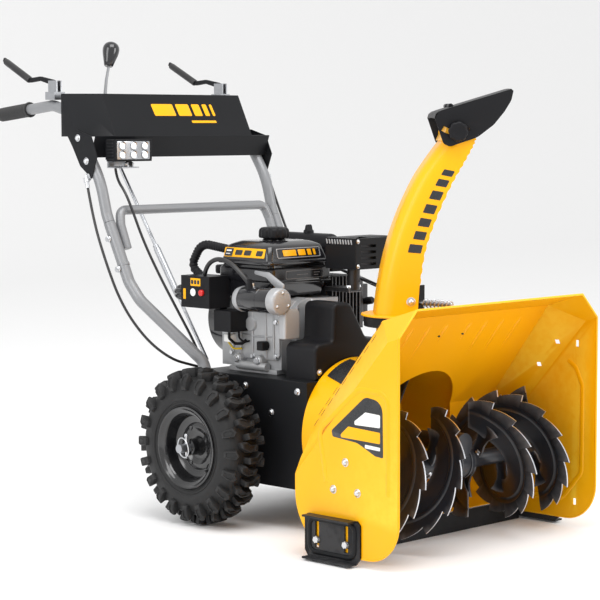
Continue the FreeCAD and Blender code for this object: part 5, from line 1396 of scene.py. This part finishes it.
COVER_PROFILE = [(-111, 322.4), (-111, 398), (-57, 403), (-54, 484), (-4, 484), (46, 403), (111, 398),
                 (111, 322.4)]
cover_loop = rounded_corners(COVER_PROFILE, {1: 17, 2: 9, 3: 15, 4: 26, 5: 26, 6: 17}, 8)
cover = cut_plate("belt_cover_moulding", [cover_loop], 93.6, lambda u, v, w: at(u, -197 + w, v), edge=8.5,
                  rounds=5)
shown("belt_cover_moulding", cover, "chassis", MATTE_BLACK, "plastic_black", "belt_cover")
softened("frame_box", "chassis", SATIN_BLACK, "frame_black", width=1.6, segments=3)
frame_fixings = []
for side in (-1, 1):
    for y, z in ((-220, 300), (-140, 249), (-60, 300), (40, 300), (90, 130)):
        frame_fixings.append(hex_bolt("frame_bolt", at(side * 141.4, y, z), (side, 0, 0), width=10,
                                      height=5, washer=8))
for x in (-100, 100):
    frame_fixings.append(hex_bolt("cover_bolt", at(x, -244, 340), (0, -1, 0), width=9, height=4.5, washer=7,
                                  dome=True))
shown("frame_fixings", merged("frame_fixings", frame_fixings, 30), "chassis", ZINC, "zinc")

# ------------------------------------------------------------ electric starter
# A barrel motor with bright end bells, and its switch box with a red button and a lobed knob. Wires run
# to a plug at the crankcase, and a ribbed conduit goes behind the tank.

STARTER_X = -141
STARTER_Z = 488.0
bells = [turned_profile("front_bell",
                        [(-175.9, 0), (-175.9, 22), (-175, 25.5), (-172.5, 28), (-170, 28.8), (-152, 28.8),
                         (-150.5, 27.6), (-150.5, 0)], at(STARTER_X, 0, STARTER_Z), (0, 1, 0), count=64),
         turned_profile("rear_bell",
                        [(-60, 0), (-60, 27.6), (-54, 27.8), (-44, 25), (-38, 19), (-36.2, 12), (-36.2, 0)],
                        at(STARTER_X, 0, STARTER_Z), (0, 1, 0), count=64)]
shown("starter_bells", merged("starter_bells", bells), "chassis", CAST_ALUMINIUM, "aluminium_cast",
      "starter_motor")
barrel = turned_profile("starter_barrel",
                        [(-150.6, 0), (-150.6, 26.4), (-148, 27), (-118, 27), (-117, 26.2), (-115.6, 26.2),
                         (-114.6, 27), (-62, 27), (-60, 26.4), (-60, 0)], at(STARTER_X, 0, STARTER_Z),
                        (0, 1, 0), count=64)
shown("starter_barrel", barrel, "chassis", GLOSS_BLACK, "plastic_black")
mount = stacked("starter_mount", (-130, -84, -171, -150),
                [(406, 2, 4), (408, 0, 5), (462, 0, 5), (470, 3, 4)], 30)
arm = cut_plate("starter_arm",
                [rounded_corners([(-150, 512), (-128, 512), (-96, 534), (-60, 540), (-60, 548), (-104, 546),
                                  (-150, 522)], 3, 4)], 4, on_side(-112), edge=1)
shown("starter_mount", merged("starter_mount", [mount, arm]), "chassis", CAST_ALUMINIUM, "aluminium_cast")
screws = []
for degrees in (90, 210, 330):
    turn = math.radians(degrees)
    spot = at(STARTER_X + 19 * math.cos(turn), -175.8, STARTER_Z + 19 * math.sin(turn))
    screws.append(hex_bolt("bell_screw", spot, (0, -1, 0), width=6, height=2, washer=4, dome=True))
screws.append(hex_bolt("terminal", at(STARTER_X, -82, STARTER_Z + 27), (0, 0, 1), width=8, height=8,
                       washer=6))
shown("starter_screws", merged("starter_screws", screws, 30), "chassis", ZINC, "zinc")
boot = turned_profile("lead_boot", [(0, 9), (6, 9), (16, 6.4), (24, 5.6), (24, 0)], at(-148, -80, 508),
                      (0, 0, 1), count=28)
shown("lead_boot", boot, "chassis", MATTE_BLACK, "rubber_black")

softened("switch_box", "chassis", MATTE_BLACK, "plastic_black", width=3.0, segments=4)
box_side = lambda u, v, w: at(-166.4 - w, u, v)
label_side = lambda u, v, w: at(-166.8 - w, u, v)
shown("switch_labels", merged("switch_labels", [film("label", quad(56, 88, 510, 527), box_side, 1.5),
      film("label", quad(104, 112, 480, 503), box_side, 1.2)]), "chassis", YELLOW, "plastic_black")
switch_marks = [film("mark", quad(59 + 10 * k, 66 + 10 * k, 514, 523), label_side, 2.2) for k in range(3)]
shown("switch_marks", merged("switch_marks", switch_marks), "chassis", BLACK_DECAL, "plastic_black")
key_face = ring_of((80, 496), 8.5, 28)
shown("switch_dial", cut_plate("switch_dial", [key_face], 0.8, label_side, edge=0.2), "chassis",
      WHITE_DECAL, "plastic_black")
RED = coat("red_plastic", (0.62, 0.008, 0.006), rough=0.25, clear=0.5)
button = turned_profile("start_button_cap", [(0, 0), (0, 5.4), (0.7, 6.6), (1.8, 7), (9.8, 7), (9.8, 0)],
                        at(-171, 52, 496), (1, 0, 0), count=36)
shown("start_button_cap", button, "button", RED, "button_red", "start_button")
knob = lobed_knob("choke_knob_lobed", at(-136, 124.2, 490), (0, 1, 0),
                  [(0, 15, 0), (1.5, 18, 1), (6, 19.6, 1), (22, 19.4, 1), (30, 18, 0.8), (38, 14.5, 0.5),
                   (43, 9.5, 0.2), (45.6, 4, 0), (46, 0.6, 0)], 6, 4.0)
stem = turned_profile("choke_stem", [(112, 0), (112, 5.9), (125, 5.9), (125, 0)], at(-136, 0, 490),
                      (0, 1, 0), count=24)
shown("choke_knob_lobed", merged("choke_knob_lobed", [knob, stem]), "choke", GLOSS_BLACK, "plastic_black",
      "choke_knob")

# relay wiring and the ribbed conduit behind the tank
WIRES = (((-128, 6, 411), (-126, 8, 396), (-112, 4, 384), (-96, -4, 384), (-90, -8, 392)),
         ((-118, 16, 411), (-120, 20, 390), (-108, 14, 372), (-92, 4, 372)),
         ((-108, -4, 411), (-112, -8, 398), (-104, -16, 388), (-90, -18, 390)))
YELLOW_WIRE = coat("yellow_wire", (0.75, 0.55, 0.02), rough=0.4)
for index, (wire, finish) in enumerate(zip(WIRES, (MATTE_BLACK, YELLOW_WIRE, MATTE_BLACK))):
    line = arc_route(wire, 9, 5)
    shown("relay_wire_" + str(index), swept("relay_wire", line, 2.2 if index else 3.2, 12), "chassis",
          finish, "rubber_black")
wire_plug = stacked("wire_plug", (-126, -104, 6, 26),
                    [(388, 1, 2), (389, 0, 2.4), (404, 0, 2.4), (405, 1, 2)], 26)
shown("wire_plug", wire_plug, "chassis", WHITE_DECAL, "plastic_black")
conduit_route = arc_route([(-108, 116, 526), (-110, 148, 548), (-108, 116, 600), (-92, 40, 588)], [20, 34],
                          12)
dense = []
for first, second in zip(conduit_route, conduit_route[1:]):
    pieces = max(1, int((second - first).length / 0.0016))
    dense += [first.lerp(second, k / pieces) for k in range(pieces)]
shown("ribbed_conduit",
      swept("ribbed_conduit", dense, [10.0 if (k // 2) % 2 else 8.6 for k in range(len(dense))], 20),
      "chassis", MATTE_BLACK, "rubber_black")

# ------------------------------------------------------------ handles and grips
# Bent steel tubes in silver-grey paint, bolted together at a flattened sleeve and braced by a bent bar.
# Moulded ribbed grips are pushed over their ends.

HANDLE_X = 253
HANDLE_GREY = coat("handle_grey_paint", (0.235, 0.24, 0.25), shade=0.92, rough=0.4, rough_spread=0.12,
                   metal=0.25, clear=0.1, clouds=6.0, ripple=(900.0, 0.05, 0.0003))
for node in ("lower_handle_right", "lower_handle_left", "upper_handle_right", "upper_handle_left",
             "crossbar"):
    softened(node, "chassis", HANDLE_GREY, "handle_grey", width=0.5, angle=50)
sleeves = []
for side in (-1, 1):
    low = at(side * 250.4, 212, 551)
    sleeves.append(swept("joint_band", [low, low + Vector((side * 0.0002, 0.0026, 0.0056))], 13.4, 32))
shown("joint_bands", merged("joint_bands", sleeves, 40), "chassis", HANDLE_GREY, "handle_grey")

GRIP_RUBBER = coat("grip_rubber", (0.02, 0.02, 0.021), shade=0.8, rough=0.62, rough_spread=0.15,
                   ripple=(900.0, 0.6, 0.0006), dust=0.05)
grip_profile = [(0, 12.7), (0, 17.2), (3, 17.8), (6, 17.2), (8, 15.4)]
for index in range(15):
    along = 10 + index * 6
    grip_profile += [(along, 15.2), (along + 0.8, 16.0), (along + 4.2, 16.0), (along + 5.0, 15.2)]
grip_profile += [(103, 15.4), (108, 15.8), (111.5, 14.6), (113.2, 11), (113.8, 5), (113.8, 0)]
grips = [turned_profile("grip", grip_profile, at(side * HANDLE_X, 536, 895.9), (0, 194, -21), count=56)
         for side in (-1, 1)]
shown("ribbed_grips", merged("ribbed_grips", grips), "chassis", GRIP_RUBBER, "rubber_black", "hand_grips")

# ------------------------------------------------------------ control panel
# A folded sheet hood in satin black across the handles, with printed bars on its raked front. Brackets
# under it carry the clutch levers, the speed lever and the lamp.

softened("control_panel", "chassis", SATIN_BLACK, "frame_black", width=1.6, angle=14, segments=3)
softened("panel_brackets", "chassis", STEEL, "zinc", width=0.9)
RAKE_UP = Vector((0, 48, 96)).normalized()
RAKE_OUT = Vector((0, -96, 48)).normalized()


def on_rake(u, v, w):
    """Places a film drawn on the panel's raked front face: u across, v up the slope from its lower edge."""
    return at(*(Vector((u, 287, 835)) + RAKE_UP * v + RAKE_OUT * (w + 0.4)))


bars = []
start = -72
for width in (64, 40, 24, 14, 8):
    bars.append(film("bar", quad(start, start + width, 52, 82, -3), on_rake, 3.0))
    start += width + 9
bars.append(film("underline", quad(34, 110, 34, 40, -0.8), on_rake, 1.4))
shown("panel_print", merged("panel_print", bars), "chassis", YELLOW, "plastic_black")

# clutch levers in black with a dipped sleeve, the gate's speed lever with its pear knob, and its rod
DIPPED = coat("dipped_vinyl", (0.012, 0.012, 0.013), shade=0.85, rough=0.32, rough_spread=0.1,
              ripple=(500.0, 0.2, 0.0004))
for label, side in (("right", -1), ("left", 1)):
    body = "clutch_" + label
    x = side * HANDLE_X
    outline = rounded_corners([(440, 938), (444, 962), (496, 971), (530, 968), (592, 996), (630, 1016),
                               (634, 1008), (596, 987), (534, 957), (496, 961), (458, 952), (452, 938)],
                              {0: 3, 1: 10, 2: 16, 3: 14, 8: 14, 9: 16, 10: 8, 11: 3}, 5)
    plate = cut_plate("lever_plate", [outline], 7.8, on_side(x), edge=1.2)
    shown("lever_plate_" + label, plate, body, SATIN_BLACK, "frame_black", "clutch_lever_" + label)
    way = Vector((0, 96, 47)).normalized()
    foot = at(x, 536, 963)
    tip = [(0, 5.5), (1, 7.2), (3, 8), (96, 8), (100, 7.2), (102, 5), (102.6, 0)]
    shown("lever_sleeve_" + label, turned_profile("lever_sleeve", tip, foot, way, count=36), body, DIPPED,
          "rubber_black")

strip = swept("speed_strip",
              [at(-110, 440, 816), at(-110, 441, 860), at(-110, 442, 900), at(-109, 444, 930),
               at(-98, 452, 965), at(-83, 460, 1000)], [5, 5, 5, 5, 4.6, 4.2], 20, flat=0.6, out=(1, 0, 0))
pivot = turned_profile("speed_pivot", [(-127, 0), (-127, 6), (-126, 6.9), (-94, 6.9), (-93, 6), (-93, 0)],
                       at(0, 440, 880), (1, 0, 0), count=36)
shown("speed_strip", merged("speed_strip", [strip, pivot]), "shift", HANDLE_GREY, "steel", "shift_lever")
pear = turned_profile("speed_knob",
                      [(0, 0), (0, 9), (1.5, 10.4), (12, 13.2), (26, 17.2), (36, 19.2), (42, 19.6),
                       (48, 18.6), (54, 15.2), (58, 9.5), (60, 3), (60.2, 0)], at(-85, 459.6, 996.4),
                      (0.34, 0.15, 1), count=56)
shown("speed_knob", pear, "shift", GLOSS_BLACK, "plastic_black")
ROD_TOP = Vector((-99, 440, 815))
ROD_WAY = Vector((-97, 112, 338)) - ROD_TOP
rod_profile = [(0, 0), (0, 4), (275, 4), (276, 6.6), (284, 6.6), (285, 7.9), (402, 7.9), (403, 6.6),
               (411, 6.6), (412, 4), (578, 4), (578.9, 0)]
shown("speed_rod", turned_profile("speed_rod", rod_profile, at(*ROD_TOP), ROD_WAY, count=28), "rod", STEEL,
      "zinc", "shift_rod")

# ------------------------------------------------------------ work lamp
# A small case with fins along its side and a raised bezel. Six light emitters stand in bright cups on its
# front plate, and two screws hold the case to its ear.

LAMP_X = -191
LAMP_FACE = 247.0
softened("work_lamp", "lamp", SATIN_BLACK, "plastic_black", width=1.2)
bezel = cut_plate("lamp_bezel",
                  [rounded_corners(quad(-243.5, -138.5, 781, 829), 5, 5),
                   list(reversed(rounded_corners(quad(-239, -143, 785, 825), 3, 4)))], 3,
                  lambda u, v, w: at(u, LAMP_FACE - 0.2 - w, v), edge=0.9)
side_fins = []
for index in range(7):
    z = 784 + index * 7
    side_fins.append(stacked("side_fin", (-247.2, -243.6, 250, 272),
                             [(z, 0.8, 0.6), (z + 0.6, 0, 1), (z + 2.6, 0, 1), (z + 3.2, 0.8, 0.6)], 34))
shown("lamp_bezel", merged("lamp_bezel", [bezel] + side_fins), "lamp", SATIN_BLACK, "plastic_black")
CHROME = coat("bright_cup", (0.42, 0.43, 0.45), rough=0.25, metal=0.9, dust=0.0)
cups = [cut_plate("cup_plate", [rounded_corners(quad(-239.5, -142.5, 784.5, 825.5), 3, 4)], 0.6,
                  lambda u, v, w: at(u, LAMP_FACE - 0.3 - w, v), edge=0.15)]
emitters = []
for x in (LAMP_X - 32.5, LAMP_X, LAMP_X + 32.5):
    for z in (795, 815):
        cups.append(turned_profile("cup", [(0.2, 9.7), (1.9, 10.0), (2.3, 9.6), (1.2, 7.2), (0.8, 4.4)],
                                   at(x, LAMP_FACE, z), (0, -1, 0), count=36))
        emitters.append(turned_profile("emitter", [(0.6, 0), (0.6, 7.4), (1.6, 6.2), (2.2, 3.2), (2.4, 0)],
                                       at(x, LAMP_FACE, z), (0, -1, 0), count=28))
shown("lamp_cups", merged("lamp_cups", cups), "lamp", CHROME, "zinc")
LIT = coat("lit_emitter", (1.0, 1.0, 1.0), rough=0.2, dust=0.0)
lit_shader = LIT.node_tree.nodes["Principled BSDF"]
lit_shader.inputs["Emission Color"].default_value = (1.0, 1.0, 1.0, 1)
lit_shader.inputs["Emission Strength"].default_value = 1.1
shown("lamp_emitters", merged("lamp_emitters", emitters), "lamp", LIT, "zinc")
lamp_screws = [hex_bolt("lamp_screw", at(side * 9.2 + LAMP_X, 264, 774), (side, 0, 0), width=7, height=3,
                        washer=5) for side in (-1, 1)]
shown("lamp_screws", merged("lamp_screws", lamp_screws), "chassis", ZINC, "zinc")

# ------------------------------------------------------------ cables
# Two sheathed steel cables run from the panel down to the drive, with the lamp's lead beside the right one,
# and a short lead joins the switch box to the starter. Both ends of each go back into the machine.

CABLE_SHEATH = coat("cable_sheath", (0.013, 0.013, 0.014), rough=0.34, rough_spread=0.1,
                    ripple=(900.0, 0.2, 0.0003))
OUTER = [(278, 306, 742), (286, 276, 660), (290, 232, 570), (280, 188, 470), (250, 144, 395),
         (206, 112, 350), (160, 96, 334), (132, 84, 326)]
INNER = [(-206, 292, 763.9), (-209, 284, 740), (-210, 254, 712), (-205, 236, 672), (-190, 218, 605),
         (-168, 192, 530), (-150, 150, 450), (-128, 112, 370), (-118, 100, 326)]
LEAD = [(-150, 60, 533.5), (-152, 52, 556), (-156, 12, 574), (-158, -32, 566), (-156, -66, 542),
        (-148, -82, 520)]
for name, route, radius, length in (("cable_left", OUTER, 3, 0.545),
                                    ("cable_right", [(-x, y, z) for x, y, z in OUTER], 3, 0.545),
                                    ("lamp_lead", INNER, 3, 0.50), ("starter_lead", LEAD, 5, 0.175)):
    line = bpy.data.curves.new(name, "CURVE")
    line.dimensions = "3D"
    line.bevel_depth = radius * MM
    line.bevel_resolution = 5
    line.resolution_u = 16
    line.use_fill_caps = True
    spline = line.splines.new("NURBS")
    spline.points.add(len(route) - 1)
    for point, corner in zip(spline.points, route):
        point.co = (*at(*corner), 1)
    spline.order_u = 3
    spline.use_endpoint_u = True
    line.materials.append(CABLE_SHEATH)
    cable = bpy.data.objects.new(name, line)
    bpy.context.scene.collection.objects.link(cable)
    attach(cable, "chassis")
    if name == "starter_lead":
        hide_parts("cables")

# adjusters that hold the sheaths' upper ends to the panel's flanges, and grommets where they enter the frame
holders = []
for side in (-1, 1):
    top, below = (at(side * x, y, z) for x, y, z in OUTER[:2])
    way = (top - below).normalized()
    holders.append(turned_profile("adjuster",
                                  [(-22, 3), (-22, 4.4), (-8, 4.8), (-8, 6.4), (-2, 6.4), (-2, 4.8),
                                   (4, 4.8), (4, 2.2), (9, 1.6), (9, 0)], top, way, count=24))
    holders.append(cut_plate("adjuster_tab",
                             [rounded_corners([(299, 738), (316, 738), (322, 752), (308, 754)], 2.5, 4)],
                             1.6, on_side(side * 269.2), edge=0.4))
    holders.append(cut_plate("adjuster_ledge",
                             [rounded_corners([(side * 268.5, 300), (side * 284, 300), (side * 284, 312),
                                               (side * 268.5, 312)][::side], 1.5, 3)], 1.6,
                             lambda u, v, w: at(u, v, 742 + w), edge=0.4))
shown("cable_adjusters", merged("cable_adjusters", holders, 40), "chassis", ZINC, "zinc")
grommets = []
for x, y, z in (OUTER[-1], (-OUTER[-1][0], *OUTER[-1][1:]), INNER[-1]):
    grommets.append(turned_profile("grommet",
                                   [(321.6, 0), (321.6, 9), (324, 9), (327, 7), (330.5, 5), (330.5, 0)],
                                   at(x, y, 0), (0, 0, 1), count=28))
shown("frame_grommets", merged("frame_grommets", grommets), "chassis", MATTE_BLACK, "rubber_black")

# ------------------------------------------------------------ drive parts inside
# Pulleys, belts and shafts behind the covers, and the impeller in its drum. They keep their drawn shapes,
# with their corners broken.

BELT_RUBBER = coat("belt_rubber", (0.018, 0.018, 0.018), rough=0.7, ripple=(600.0, 0.4, 0.0006), dust=0.08)
for node, body, finish, slot in (("impeller", "impeller_rotor", AUGER_PAINT, "auger_black"),
                                 ("impeller_shaft", "impeller_rotor", STEEL, "steel"),
                                 ("impeller_pulley", "impeller_rotor", CAST_ALUMINIUM, "iron_cast"),
                                 ("engine_pulley", "crankshaft", CAST_ALUMINIUM, "iron_cast"),
                                 ("drive_belts", "chassis", BELT_RUBBER, "rubber_black")):
    softened(node, body, finish, slot, width=0.8)

# ------------------------------------------------------------ skid shoes
# Pressed steel shoes with a rolled lip top and bottom and a raised rim. Two slots take the bolts that hold
# each shoe to its end plate, and set the height of the wear bar off the ground.

for side, name in ((-1, "right"), (1, "left")):
    softened("skid_shoe_" + name, "skid_" + name, SATIN_BLACK, "frame_black", width=1.8, segments=3)
    rim_line = rounded_corners([(-553, 17), (-429, 17), (-429, 84), (-553, 84)], 16, 7)
    bead = swept("shoe_rim", [at(side * 315.2, y, z) for y, z in rim_line], 5.0, 14, closed=True, flat=0.55,
                 out=(1, 0, 0))
    shown("shoe_rim_" + name, bead, "skid_" + name, SATIN_BLACK, "frame_black")
